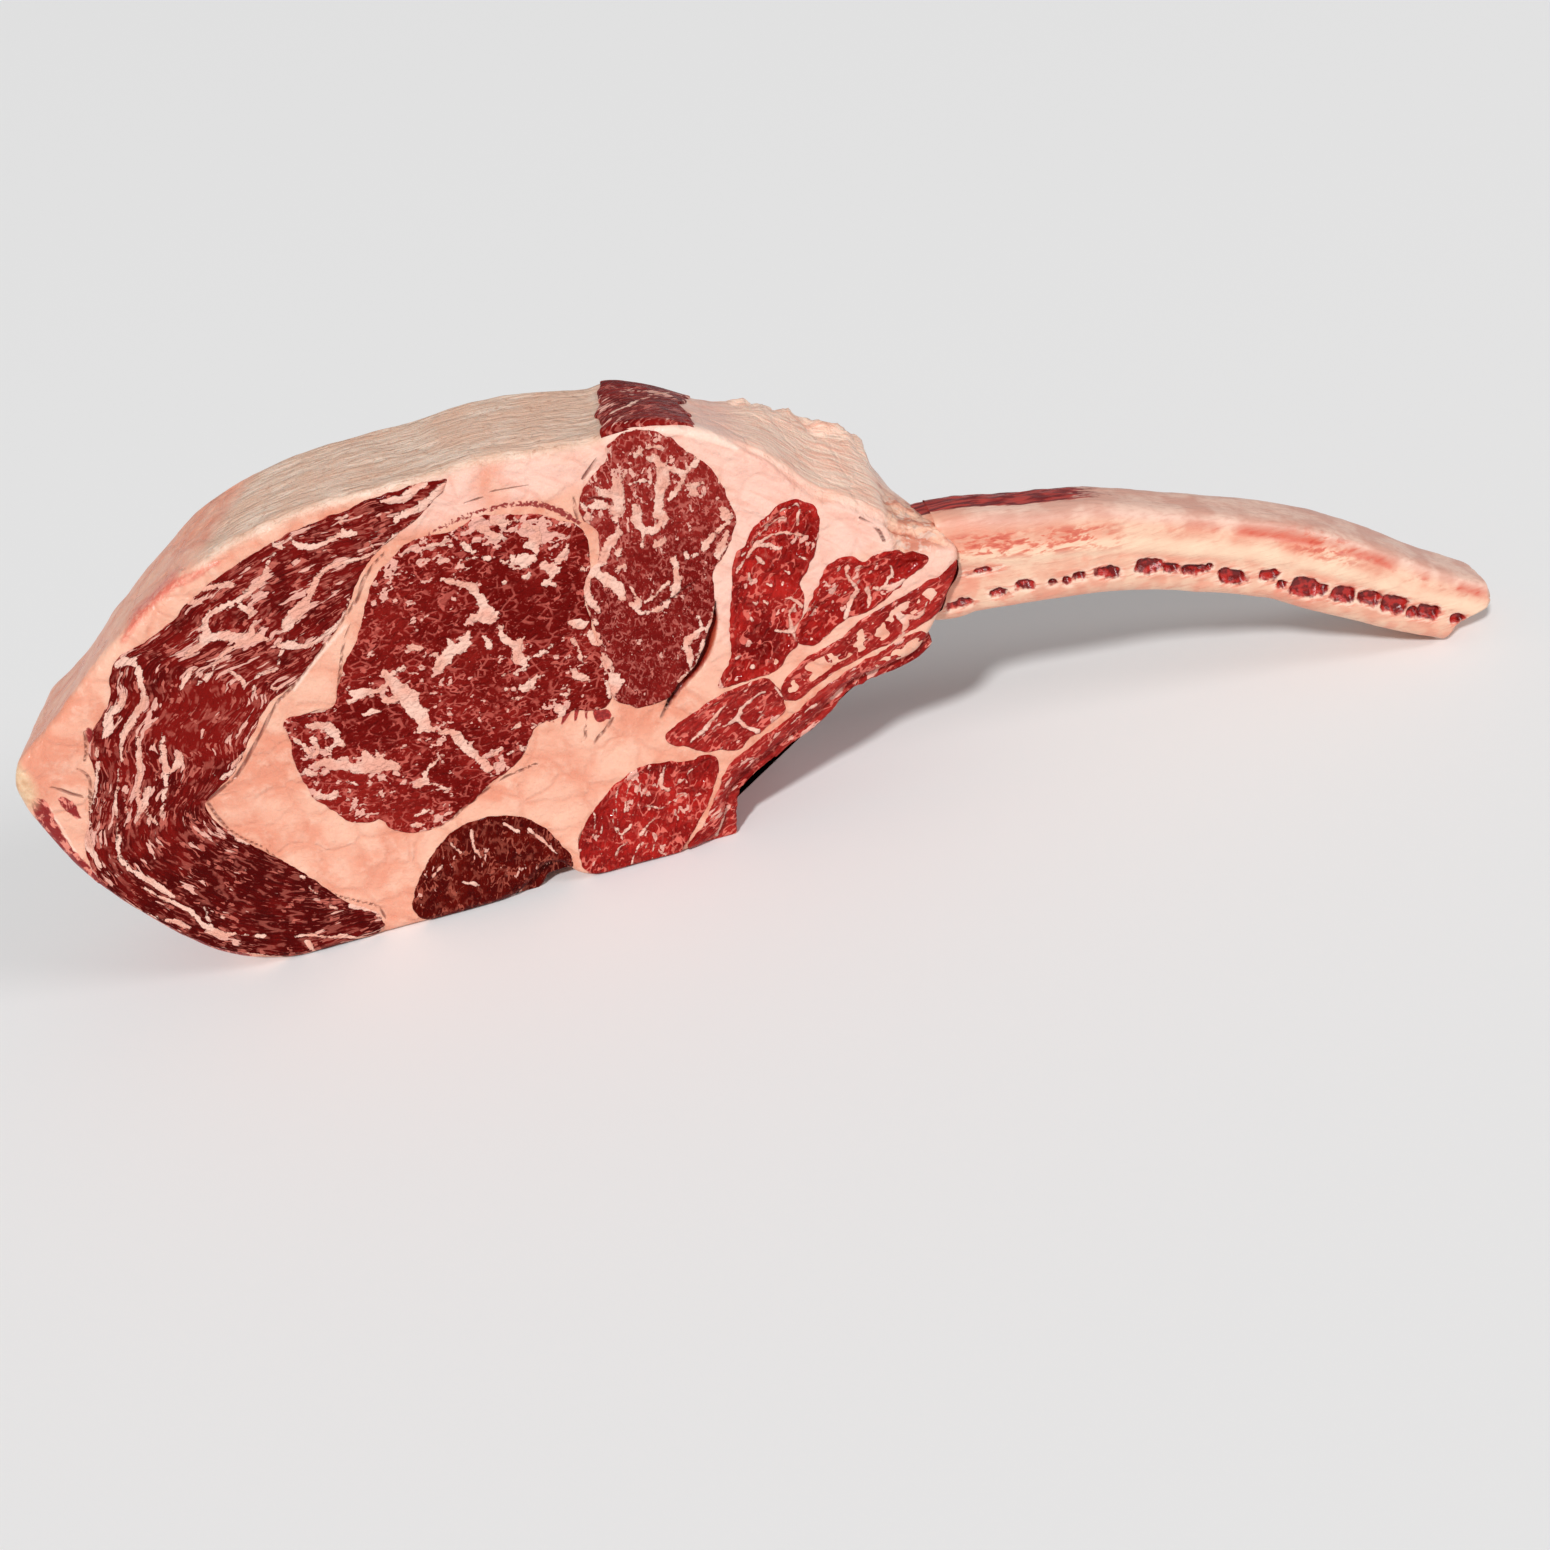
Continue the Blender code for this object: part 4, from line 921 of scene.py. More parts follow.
# The eye: the round middle muscle, with lobed blobs of fat and a lacy top edge
EYE_FAT = (
    (
        (-135.4, 94, 0.9), (-134, 90, 1.6), (-132.7, 87, 2.5), (-131.2, 83.5, 2.8), (-130.7, 79.4, 2.8),
        (-129.5, 75.9, 2.2), (-129, 72.4, 1.9), (-127.5, 70.5, 1.0),
    ),
    ((-138.4, 84.7, 0.8), (-135, 84.2, 1.6)), ((-131.6, 71.2, 0.8), (-130, 72.6, 1.2)),
    ((-134.8, 92.4, 0.5), (-131.3, 93.5, 0.5), (-129.2, 94.4, 0.4)), ((-129.4, 84.4, 0.8), (-127.2, 84, 0.3)),
    (
        (-147.8, 91.2, 0.5), (-146, 89.4, 1.6), (-143, 89.4, 1.3), (-140.1, 88.8, 0.8), (-137.2, 89.4, 0.4),
        (-135, 89.8, 0.5),
    ),
    ((-149.8, 88, 0.2), (-147, 87.8, 0.5)), ((-145.8, 81.6, 0.5), (-143.4, 82.4, 0.5), (-141.1, 81.6, 0.3)),
    (
        (-163.4, 82.9, 0.8), (-160.7, 82.6, 1.2), (-158.2, 81.2, 1.4), (-156.8, 78.4, 1.3),
        (-156.6, 75.9, 0.9), (-156, 74.7, 0.7), (-158.4, 74.1, 0.7), (-160.4, 73.5, 0.7),
    ),
    ((-156.4, 77.0, 0.3), (-155.8, 73.8, 0.6)),
    (
        (-169, 79.4, 0.6), (-167.2, 77, 0.5), (-167.2, 74.7, 0.6), (-164.8, 72.6, 0.4), (-163.7, 74.6, 0.3),
        (-164.2, 77.4, 1.2),
    ),
    ((-169.6, 68.2, 0.7), (-168.4, 66.4, 0.6), (-167.0, 66.0, 0.5)),
    (
        (-165.7, 68.8, 0.8), (-163.6, 69.6, 1.9), (-160.7, 67.6, 1.9), (-158.4, 66.5, 1.7),
        (-154.8, 64.3, 1.6), (-151.3, 63.7, 2.5), (-147.8, 63.5, 2.5), (-144.2, 61.8, 1.8),
        (-141.3, 60.6, 0.6),
    ),
    ((-150.4, 68.4, 1.0), (-150.1, 65.3, 2.2)), ((-146.8, 67.8, 0.6), (-146.4, 66, 0.7)),
    ((-170, 58.4, 0.6), (-167.2, 57.2, 1.0), (-164.4, 56.7, 1.0), (-163.6, 57.8, 0.6)),
    ((-158.4, 60, 0.5), (-156.6, 58.4, 0.4)),
    ((-139.2, 51.4, 0.5), (-136.2, 53.4, 1.5), (-134.4, 51.8, 0.6), (-130.3, 49.0, 0.4)),
    ((-135.2, 55, 0.4), (-131.3, 58.2, 0.35), (-127.2, 60.6, 0.25)), ((-142, 41.6, 0.3), (-138, 42.4, 0.4)),
    ((-144, 38.4, 0.6), (-142, 38, 0.9)),
    (
        (-125.4, 68.8, 0.8), (-121.6, 67.6, 1.6), (-120, 63, 1.3), (-118, 58, 1.1), (-115.5, 54.2, 1.6),
        (-115, 52, 1.9),
    ),
    ((-125.4, 100.6, 0.7), (-123.4, 99.6, 1.0), (-121.4, 98.8, 0.6)),
    ((-112.0, 55.9, 0.3), (-108.7, 57.2, 0.3)), ((-107.3, 54.7, 0.4), (-102.7, 56, 0.6)),
    ((-101.9, 63.9, 0.6), (-101.2, 63.6, 0.5)),
    (
        (-105.3, 116.7, 0.6), (-101.3, 114.7, 1.2), (-100, 111.3, 1.3), (-99.3, 108, 1.3),
        (-98.6, 105.4, 2.0), (-99.4, 103.6, 2.9), (-98, 103.2, 2.0),
    ),
    ((-103, 104.2, 1.0), (-101, 103.4, 1.4)), ((-108.7, 119.1, 0.7), (-106.0, 117.7, 0.9)),
    ((-113.3, 99.3, 0.5), (-113.3, 95.6, 1.2), (-116, 93.2, 2.3), (-118, 91.3, 1.5)),
    ((-118.2, 95.6, 0.5), (-117.4, 93, 1.0)),
    ((-113.3, 94.7, 1.4), (-109.5, 95.8, 1.6), (-108, 98, 1.1), (-106.3, 100, 0.4)),
    ((-102, 96.7, 0.7), (-101.7, 93.5, 0.9)),
    (
        (-96.3, 99.3, 0.6), (-96.7, 95.3, 1.0), (-94.7, 92, 1.5), (-94, 88.7, 1.7), (-94.4, 86.4, 1.9),
        (-92.9, 85.3, 1.6), (-93.3, 83.3, 0.9),
    ),
    ((-93.3, 91.3, 1.0), (-90, 93.7, 0.4)),
    ((-92.2, 85.2, 0.6), (-89.3, 86, 0.3), (-85.3, 86.7, 0.7), (-82.7, 88.3, 0.5)),
    ((-95.7, 76, 1.5), (-93.3, 77.3, 0.9), (-90.7, 78.7, 0.4)),
    ((-79.3, 77.3, 0.5), (-78, 74.9, 1.6), (-76, 73.3, 0.6)),
    ((-76, 80, 0.6), (-75.3, 84.7, 0.5), (-76.7, 88, 0.4)), ((-74, 93.2, 1.5), (-71.5, 92.2, 1.4)),
    ((-70.4, 89, 0.8), (-69.5, 86.4, 1.9), (-68.8, 84.7, 1.1)), ((-68.9, 78.7, 0.9), (-68.4, 75.6, 0.9)),
    ((-69, 70.7, 1.1), (-69, 67.5, 2.2), (-69.6, 65.3, 1.0)),
    ((-100.3, 82.7, 0.35), (-98.3, 83.3, 0.35), (-96.6, 81.3, 0.3)),
    ((-101.3, 77.3, 0.3), (-100, 74, 0.35), (-96.7, 73.3, 0.3)),
    ((-85.3, 70.7, 0.4), (-82.7, 70, 0.5), (-82, 72, 0.4)),
    ((-87.3, 65.3, 1.1), (-86.4, 64, 1.3), (-88, 62, 1.1)),
    ((-99.3, 129.3, 0.8), (-98.7, 127.3, 1.2), (-97.3, 125.3, 0.8)),
    ((-92.7, 132, 1.2), (-90.7, 130.7, 1.4), (-88.7, 128, 1.1), (-87.3, 127.3, 0.5)),
    ((-88.7, 133.3, 0.7), (-85.3, 131.5, 1.2), (-83.7, 131.3, 0.6)), ((-82, 131.7, 0.5), (-81.6, 131.4, 0.4)),
    ((-80.1, 129, 1.0), (-79.3, 129, 1.0)), ((-76.4, 129.4, 0.4), (-76.4, 126.6, 0.4)),
    ((-81.3, 122.7, 0.7), (-78.7, 122.5, 2.0), (-76.9, 125.8, 0.8)), ((-78.8, 121, 1.1), (-78.4, 120.2, 0.7)),
    ((-86, 118.7, 1.3), (-82.9, 118, 1.9), (-80.9, 118, 1.2)), ((-86.8, 121.3, 0.3), (-85.7, 119.3, 0.5)),
    ((-88.2, 118.9, 0.4), (-87.2, 116.4, 0.6)),
    ((-89.6, 119.9, 0.2), (-86.9, 117.2, 0.3), (-84.3, 115.9, 0.3)),
    ((-78, 115.3, 1.2), (-76, 113.3, 1.9), (-76, 110.9, 0.8)), ((-74.7, 111.5, 0.6), (-73.3, 112.7, 0.5)),
    ((-73.3, 114.7, 0.6), (-70.7, 117.3, 0.9), (-68.7, 119.3, 0.4)), ((-84.5, 113, 0.7), (-83.5, 113, 0.7)),
    ((-91.1, 113.0, 0.5), (-90.7, 113.2, 0.4)), ((-94.4, 122.1, 0.6), (-93.4, 121.9, 0.6)),
    ((-66.9, 110.9, 0.7), (-66.5, 110.3, 0.6)), ((-79.3, 109, 0.5), (-76.7, 108, 0.4)),
    ((-99.2, 123.8, 0.3), (-96.2, 123.2, 0.3)), ((-109, 131, 0.5), (-105, 130, 0.7), (-102.6, 128.8, 0.4)),
)


def lobe_middles(x, z):
    """1 in the plain, dull middle of the eye's two large lobes, 0 away from them."""
    upper = smooth(np.hypot((x + 84) / 1.3, z - 103), 18, 9)
    lower = smooth(np.hypot((x + 145) / 1.3, z - 77), 12, 6)
    return np.clip(upper + lower, 0, 1)


def eye_fatty(x, z):
    """Fattest along the top edge and the left end, leaner in the middle of each lobe."""
    lace = smooth(z + dapple(np.stack([x, z], -1), 9, 61) * 4, 119, 130)
    left = smooth(-x, 150, 160)
    return 0.5 + 0.6 * lace + 0.3 * left - 0.5 * lobe_middles(x, z)


def eye_warm(x, z):
    """Brighter towards its lower left end, duller in the middle of each lobe."""
    return 0.45 + 0.35 * smooth(-x, 138, 156) * smooth(-z, -70, -56) - 0.25 * lobe_middles(x, z)


eye = muscle(
    "eye_muscle_look", EYE, (-118, 88), 620, 84, EYE_FAT, eye_fatty, straight_grain(8),
    seed=11, warm=eye_warm,
)
EYE_LEAN = surface(
    "eye_lean",
    lean_look(tint(104, 6, 3), tint(138, 26, 20), 4.2, 1.4, 0.6, tint(200, 96, 84), 1.0, 0.6),
    **WET,
)
eye.data.materials.append(EYE_LEAN)
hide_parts("eye_muscle")

# The crown muscle, over the eye on the rib's side, and its end that shows on top of the steak
CROWN_FAT = (
    (
        (-53, 119, 1.0), (-55.5, 117, 1.2), (-58, 114.5, 1.2), (-59.5, 112, 1.0), (-61.5, 110.5, 1.0),
        (-64, 109.3, 1.2), (-66, 107.3, 1.3), (-67.3, 105, 1.2), (-67.8, 102.5, 1.2), (-67.6, 100, 1.2),
        (-66.5, 97.5, 1.2), (-65.5, 95, 0.6),
    ),
    (
        (-64, 109.3, 1.2), (-62, 107, 1.2), (-60.4, 104, 1.7), (-58.2, 102, 1.7), (-57.6, 99, 1.5),
        (-57.5, 96.7, 0.7),
    ),
    ((-54.2, 100.5, 0.15), (-53.5, 96.4, 0.4), (-53.5, 94, 1.2), (-54.3, 92.2, 0.9), (-53.5, 90.7, 0.8)),
    ((-53.7, 94, 0.8), (-56.2, 94.4, 0.3)),
    ((-53.1, 90.7, 0.7), (-49.6, 90.3, 0.6), (-46.6, 90.7, 1.0), (-44.4, 91.6, 0.5)),
    ((-51, 94, 0.6), (-48, 95, 0.4), (-45.5, 97, 0.5), (-42.5, 98.3, 0.6)),
    ((-39.2, 105.5, 0.9), (-39, 102.5, 0.8), (-40, 99, 1.0), (-41, 96, 1.3), (-42, 94, 1.0)),
    ((-45.5, 118, 1.0), (-43, 116.5, 1.3), (-40.5, 117.5, 1.1), (-38, 119, 1.0), (-39.4, 122, 1.3)),
    ((-55.3, 112.2, 1.1), (-54.2, 113.3, 0.8)), ((-57.6, 107.6, 0.4), (-54.4, 107.6, 0.5)),
    ((-43.2, 111.6, 1.0), (-41.0, 111.9, 0.8)), ((-20.5, 117.5, 1.2), (-20.5, 114.6, 1.4)),
    ((-28.5, 106.5, 1.2), (-27.5, 108.3, 1.1), (-25, 110.3, 0.6), (-22, 111.5, 0.5), (-20, 112.7, 0.6)),
    ((-25.3, 102.4, 0.9), (-24.3, 104.5, 1.4), (-22.5, 107, 1.0), (-20.9, 109.6, 0.3)),
    ((-32.4, 105, 0.7), (-31.8, 105.2, 0.6)), ((-35.0, 106.4, 0.4), (-35.0, 104.8, 0.4)),
    ((-36.5, 84, 0.3), (-36, 81, 0.4), (-35, 79, 0.3)),
    (
        (-43.2, 67.6, 0.3), (-43, 69.5, 0.5), (-42.2, 72.5, 1.0), (-43, 75, 0.9), (-42, 77, 1.2),
        (-39, 78.5, 0.9), (-36, 80, 0.3),
    ),
    (
        (-48.2, 63.8, 0.25), (-45.0, 66.0, 0.3), (-40.4, 69.2, 0.3), (-37.0, 75.6, 0.25), (-35.0, 78.6, 0.25),
        (-32.5, 82.6, 0.25), (-31.0, 85.6, 0.25),
    ),
    ((-69, 80.5, 0.5), (-68, 77, 1.1), (-67.6, 74, 0.4)),
    ((-68.3, 72.5, 0.8), (-67.8, 69.5, 2.4), (-69.2, 66, 1.0)), ((-67.6, 69.3, 1.4), (-65, 69.5, 0.4)),
    ((-68.4, 91.8, 0.8), (-67.2, 91.2, 0.5)), ((-69, 87, 1.4), (-68.2, 84.6, 0.8)),
    (
        (-36.6, 139.9, 0.8), (-35.2, 136, 1.5), (-35.4, 132, 1.8), (-37.4, 128.6, 1.4), (-38.6, 124.6, 1.3),
        (-40, 121.4, 1.3),
    ),
    ((-49.6, 136, 0.8), (-50, 132, 1.9), (-50.4, 128.6, 1.8), (-52, 125, 1.3), (-52.7, 122.7, 0.7)),
    (
        (-45.8, 126, 0.5), (-46, 123.6, 1.4), (-46.6, 121, 1.5), (-46.2, 118, 0.9), (-46, 115.5, 0.4),
        (-47.5, 112.5, 0.2),
    ),
    (
        (-33.4, 135, 0.5), (-31, 133.6, 0.7), (-29.4, 131.6, 0.8), (-30.4, 129, 0.7), (-33, 127, 0.8),
        (-35.2, 125.4, 0.6),
    ),
    ((-29.9, 131.6, 0.5), (-26, 133.6, 0.9), (-24, 134.6, 0.7)), ((-27.7, 126.6, 0.6), (-27.6, 124.4, 1.0)),
    ((-30, 128, 0.3), (-26, 127.4, 0.4), (-23.8, 127, 0.3)),
    ((-59, 129.6, 0.7), (-56, 129, 1.3), (-53.6, 127.8, 0.6)),
    ((-55, 134, 0.6), (-54, 132.6, 1.2), (-51, 131, 0.8)),
    ((-49.6, 146.2, 0.6), (-51, 143, 0.8), (-54, 140.6, 0.4)),
    ((-46, 136.6, 0.4), (-48.6, 134.6, 0.7), (-50, 133, 1.0)), ((-38, 139.8, 0.5), (-36, 138, 0.8)),
    ((-45.6, 133, 0.3), (-42, 133.4, 0.3), (-39.4, 132, 0.3)),
    ((-61.6, 131, 0.4), (-60.4, 128, 0.9), (-61, 124.6, 0.8)),
    ((-41.6, 141.2, 0.3), (-38.2, 142.8, 0.4), (-33.6, 142.2, 0.3)),
)


def crown_fatty(x, z):
    """Streakier towards the top."""
    return 0.3 + 0.5 * smooth(z, 112, 130)


# Clefts across the crown, sunk a little and darkened with painted shade
CROWN_CLEFTS = (
    ((-47, 92, 0.05), (-43, 92.7, 0.2), (-40, 94, 0.3), (-37, 95.2, 0.3), (-33.5, 96, 0.1)),
    ((-60.6, 130.4, 0.05), (-57, 131.8, 0.2), (-53.4, 129.6, 0.2), (-52.4, 127.6, 0.15)),
)
crown = muscle(
    "crown_muscle_look", CROWN, (-48, 92), 460, 60, CROWN_FAT, crown_fatty, straight_grain(82),
    spine_end=(-41, 128), seed=21, clefts=CROWN_CLEFTS, warm=lambda x, z: 0.3 + 0.4 * smooth(z, 100, 124),
)
CROWN_LEAN = surface(
    "crown_lean",
    lean_look(tint(116, 16, 13), tint(146, 36, 31), 2.8, 1.5, 0.35, tint(204, 112, 100), 0.9, 0.55),
    **WET,
)
crown.data.materials.append(CROWN_LEAN)
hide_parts("crown_muscle")

# The bright muscles between the ribs: coarse, glossy, with white seams
GLOSSY = dict(Coat_Weight=0.14, Coat_Roughness=0.07, IOR=1.4, Specular_IOR_Level=0.05)
RIB_LEAN = surface(
    "rib_lean",
    lean_look(tint(120, 4, 2), tint(184, 34, 28), 5.0, 1.6, -0.2, tint(226, 112, 98), 0.5, 0.2, -0.15),
    **GLOSSY,
)
FINE_RIB_LEAN = surface(
    "fine_rib_lean",
    lean_look(tint(126, 10, 8), tint(178, 42, 36), 3.6, 3.0, -0.3, tint(226, 116, 102), 0.4, 0.18, -0.35),
    **GLOSSY,
)
CHAIN_LEAN = surface(
    "chain_lean",
    lean_look(tint(66, 0, 0), tint(98, 9, 1), 3.6, 2.0, 0.1, tint(168, 82, 66), 0.6, 0.4),
    **WET,
)


def even(amount):
    """The same fattiness all over."""
    return lambda x, z: amount + 0 * x


COSTAL_FAT = (
    (
        (-19.9, 96.7, 0.6), (-17.1, 98.9, 0.7), (-13.8, 102.3, 0.8), (-10.4, 103.7, 0.6), (-7.1, 104.2, 0.5),
        (-3.8, 104.2, 0.6), (-1.0, 102.5, 0.6), (1.8, 100.9, 0.3),
    ),
    ((-17.0, 99.3, 0.5), (-13.1, 101.8, 0.6), (-9.7, 101.3, 0.8), (-7.5, 99.3, 0.7), (-5.8, 99.3, 0.6)),
    ((-13.2, 104.9, 0.3), (-9.9, 106.6, 0.35), (-4.9, 108.8, 0.3), (-2.7, 109.1, 0.2)),
    ((-12.1, 107.7, 0.25), (-8.8, 108.8, 0.3), (-4.9, 110.4, 0.2)),
    ((1.8, 112.1, 0.7), (2.3, 109.9, 0.5), (1.2, 107.7, 0.6), (0.7, 105.4, 0.7)),
    ((2.7, 110.3, 0.2), (0.5, 105.3, 0.2)), ((-14.3, 98.8, 0.4), (-12.7, 96, 0.8)),
    ((-6.6, 91, 0.4), (-5.6, 90, 0.7)), ((-18.8, 84.0, 0.3), (-18.0, 83.2, 0.6)),
    ((-15.4, 83.0, 0.4), (-14.6, 82.2, 0.6)), ((-21.0, 78.4, 0.4), (-20.4, 77.4, 0.6)),
    ((-20.8, 78.6, 0.4), (-20.2, 77.6, 0.5)),
    ((-9.9, 82.1, 0.4), (-7.1, 81.6, 0.5), (-4.9, 79.3, 0.8), (-4.3, 78.2, 0.7)),
    ((-6, 79.3, 0.5), (-7.7, 77.7, 0.6), (-8.8, 75.4, 0.6), (-8.8, 72.1, 1.1)),
    ((-14.1, 72.1, 0.4), (-11.6, 70.4, 0.5), (-8.8, 71, 1.0), (-6, 71.6, 0.7)),
    ((-8.8, 69.3, 0.4), (-8.5, 66.6, 0.3)), ((-25, 61.6, 0.6), (-24.2, 61.6, 0.8)),
    ((-28.4, 66.6, 0.6), (-27.4, 66.6, 0.8)), ((-13.2, 88.4, 0.3), (-11.8, 87.8, 0.5)),
    ((-17.8, 93.6, 0.3), (-17.6, 91, 0.4)), ((-2, 96, 0.2), (0.6, 93.4, 0.4)),
)
STRIP_FAT = (
    ((-50, 41.3, 0.6), (-45, 43.8, 1.2), (-40, 48.1, 0.8), (-34.4, 51.9, 0.4), (-32.5, 53.1, 0.3)),
    ((-45.6, 40.6, 0.3), (-40, 43.1, 0.4), (-33.8, 45, 1.2), (-29.4, 49.4, 0.8), (-22.5, 51.9, 0.6)),
    ((-33.8, 45, 1.2), (-30.6, 40.6, 1.0), (-28.1, 38.8, 1.4)),
    ((-18.8, 52.5, 0.9), (-17.5, 48.8, 0.6), (-16.9, 46.9, 0.3)), ((-25.6, 44.4, 0.3), (-22.5, 41.9, 0.3)),
)
SKIRT = (
    (-60, 2), (-58, -3), (-47, -2), (-43, 6), (-41, 14), (-35, 20), (-26, 25), (-16, 30), (-6, 35), (2, 41),
    (9, 44), (19, 45.5), (28, 47.5), (33, 52), (31, 57.5), (26, 57.6), (18, 54.8), (8, 51.8), (-3, 47.2),
    (-12, 42), (-21, 37.6), (-31, 33.4), (-39, 28.5), (-44.5, 21.5), (-49, 14.5), (-54.5, 7.5),
)
SKIRT_FAT = (
    ((-36.9, 25.6, 0.5), (-32.5, 27.5, 0.4), (-28.1, 30, 0.4), (-25, 33.1, 0.6), (-21.9, 35.6, 0.5)),
    ((-36.3, 28.8, 0.4), (-33.1, 31.3, 0.4), (-28.1, 31.9, 0.2)),
    ((-18.8, 36.9, 0.5), (-12.5, 40.6, 0.5), (-7.5, 42.5, 0.8)),
    ((-56.9, 10, 0.3), (-52.5, 10, 0.3), (-47.5, 11.9, 0.3)),
    ((-50, 16.3, 0.4), (-46.3, 18.8, 0.4), (-42.5, 21.9, 0.4)), ((-46.9, 8.1, 1.0), (-50.6, 1.9, 1.0)),
)
FLANK_FAT = (
    ((-86.9, 25, 0.2), (-88.1, 20, 0.25), (-90, 16.3, 0.2)),
    ((-85, 23.1, 0.2), (-85.6, 20, 0.25), (-87.5, 15, 0.2)),
    ((-80.6, 29.4, 0.2), (-80.6, 24.4, 0.25), (-81.9, 20, 0.25), (-81.9, 15, 0.2)),
    ((-76.9, 31.9, 0.2), (-78.8, 27.5, 0.3), (-80, 22.5, 0.3), (-80.6, 18.1, 0.2)),
    ((-70.6, 35, 0.2), (-74.4, 29.4, 0.3), (-76.3, 25, 0.3), (-77.5, 20.6, 0.3), (-75, 20, 0.2)),
    ((-67.5, 35.6, 0.2), (-69.4, 31.3, 0.3), (-71.9, 26.9, 0.3), (-72.5, 22.5, 0.2)),
    ((-65, 35, 0.2), (-67.5, 31.3, 0.3), (-68.8, 27.5, 0.3), (-68.1, 25, 0.2)),
    ((-60, 35.6, 0.4), (-62.5, 30.6, 0.7), (-63.1, 27.5, 0.8), (-61.3, 25.6, 0.6)),
    ((-61.3, 26.3, 0.2), (-56.9, 27.5, 0.3), (-52.5, 30.6, 0.3), (-49.4, 32.5, 0.2)),
    ((-70, 22.5, 0.5), (-65.6, 20, 0.5), (-61.3, 21.3, 0.3), (-56.3, 22.5, 0.2)),
    ((-74.4, 11.9, 0.9), (-72.5, 13.8, 0.6), (-68.8, 16.9, 0.3)),
    ((-81.3, 16.9, 0.4), (-80.6, 13.8, 0.4), (-76.9, 16.3, 0.4)),
    ((-85, 6.3, 0.4), (-82.5, 9.4, 0.4), (-80, 10, 0.4)),
    ((-75, 9.4, 0.2), (-78.1, 5.6, 0.25), (-81.3, 0.6, 0.2)),
    ((-72.5, 9.4, 0.2), (-75, 5, 0.25), (-76.9, 0, 0.2)),
    ((-70, 10.6, 0.2), (-71.9, 5.6, 0.25), (-73.8, 0, 0.2)), ((-68.8, 6.9, 0.2), (-70, 0, 0.2)),
    ((-60, 17.5, 0.4), (-61.3, 13.8, 0.4)), ((-90, 11.9, 0.25), (-88.8, 10.6, 0.3), (-89.4, 6.9, 0.25)),
)
CHAIN_FAT = (
    ((-135, 28.6, 0.3), (-133, 24, 0.4)), ((-127, 31, 0.3), (-128, 25, 0.5), (-127, 20, 0.3)),
    ((-135, 12.6, 0.4), (-131, 10, 0.4)), ((-109, 26, 0.4), (-106, 20, 0.4), (-103, 14, 0.3)),
    ((-116, 30, 0.3), (-113, 26, 0.4)), ((-144, 18, 0.4), (-140, 21, 0.3)),
)
RIB_UPPER_FAT = (
    (
        (12.9, 86.8, 1.0), (11.6, 84.9, 0.7), (12.9, 81.6, 0.6), (14, 78.4, 0.9), (12.3, 76, 1.0),
        (10.1, 73.2, 0.7), (8.4, 70.2, 0.8),
    ),
    ((5.7, 80.4, 0.25), (7.9, 78.2, 0.5), (10.1, 78.2, 0.4), (10.1, 79.9, 0.2)),
    ((-0.4, 77.1, 0.2), (1.2, 74.9, 0.3), (5.1, 73.2, 0.2)),
    ((-4.6, 75, 0.2), (-0.4, 78.2, 0.25), (2.9, 82.7, 0.2)),
    ((19.3, 77.0, 0.6), (21.6, 76.5, 0.6), (24.9, 79.2, 0.4), (26.0, 80.4, 0.5), (26.0, 83.7, 0.2)),
    ((26.0, 83.1, 0.2), (26.0, 79.2, 0.25)), ((17.3, 77.7, 0.9), (17.3, 74.4, 0.9), (16.2, 72, 0.6)),
    ((20.7, 77, 0.7), (25.1, 76.4, 1.2), (29, 78, 0.7)), ((-0.3, 65.3, 0.3), (5.3, 66.0, 0.4)),
    ((15, 85.8, 0.5), (17.2, 86.2, 0.4)),
)
RIB_LOWER = (
    (47, 78.6), (42, 75.4), (36, 74), (30.1, 71.8), (24.6, 70.4), (17.3, 68.6), (10.1, 65.4), (2.9, 61.6),
    (-4.9, 60), (-11, 57), (-15, 53.6), (-17, 49), (-13, 46.6), (-6, 49.8), (3, 53.4), (11.2, 55.4),
    (19.6, 57.6), (25.1, 59.2), (30.4, 60.6), (35.6, 62.4), (39, 64), (41.4, 68.4), (44.2, 71.8), (46.4, 75),
)
RIB_LOWER_FAT = (
    ((24.6, 69.3, 0.8), (25.1, 66, 1.5), (26.8, 62.7, 1.5), (25.1, 60.4, 0.7)),
    ((25.1, 65.4, 1.2), (31.2, 63.8, 0.9), (35.1, 68.2, 0.4)),
    ((7.3, 62.7, 0.3), (10.1, 61, 0.3), (14, 61.6, 0.3)), ((15.7, 63.8, 0.3), (21.2, 66.6, 0.3)),
)
costal = muscle(
    "costal_muscle_look", COSTAL, (-18, 68), 300, 34, COSTAL_FAT, even(0.7), straight_grain(55),
    spine_end=(-4, 102), seed=31, relief=1.35, lump=3.4,
    warm=lambda x, z: 0.5 - 0.4 * smooth(np.hypot(x + 20, z - 70), 9, 3),
)
strip = muscle(
    "strip_muscle_look", STRIP, (-44, 45), 200, 20, STRIP_FAT, even(0.6), straight_grain(28),
    spine_end=(-28, 48), seed=33, relief=1.0, lump=3.2,
)
skirt = muscle(
    "skirt_muscle_look", SKIRT, (-50, 8), 420, 12, SKIRT_FAT, even(0.9), straight_grain(30),
    spine_end=(20, 52), seed=35, relief=0.6, lump=3.6,
)
flank = muscle(
    "flank_muscle_look", FLANK, (-76, 14), 260, 34, FLANK_FAT, even(0.7), straight_grain(65),
    spine_end=(-60, 22), seed=37, relief=1.0, lump=3.2,
)
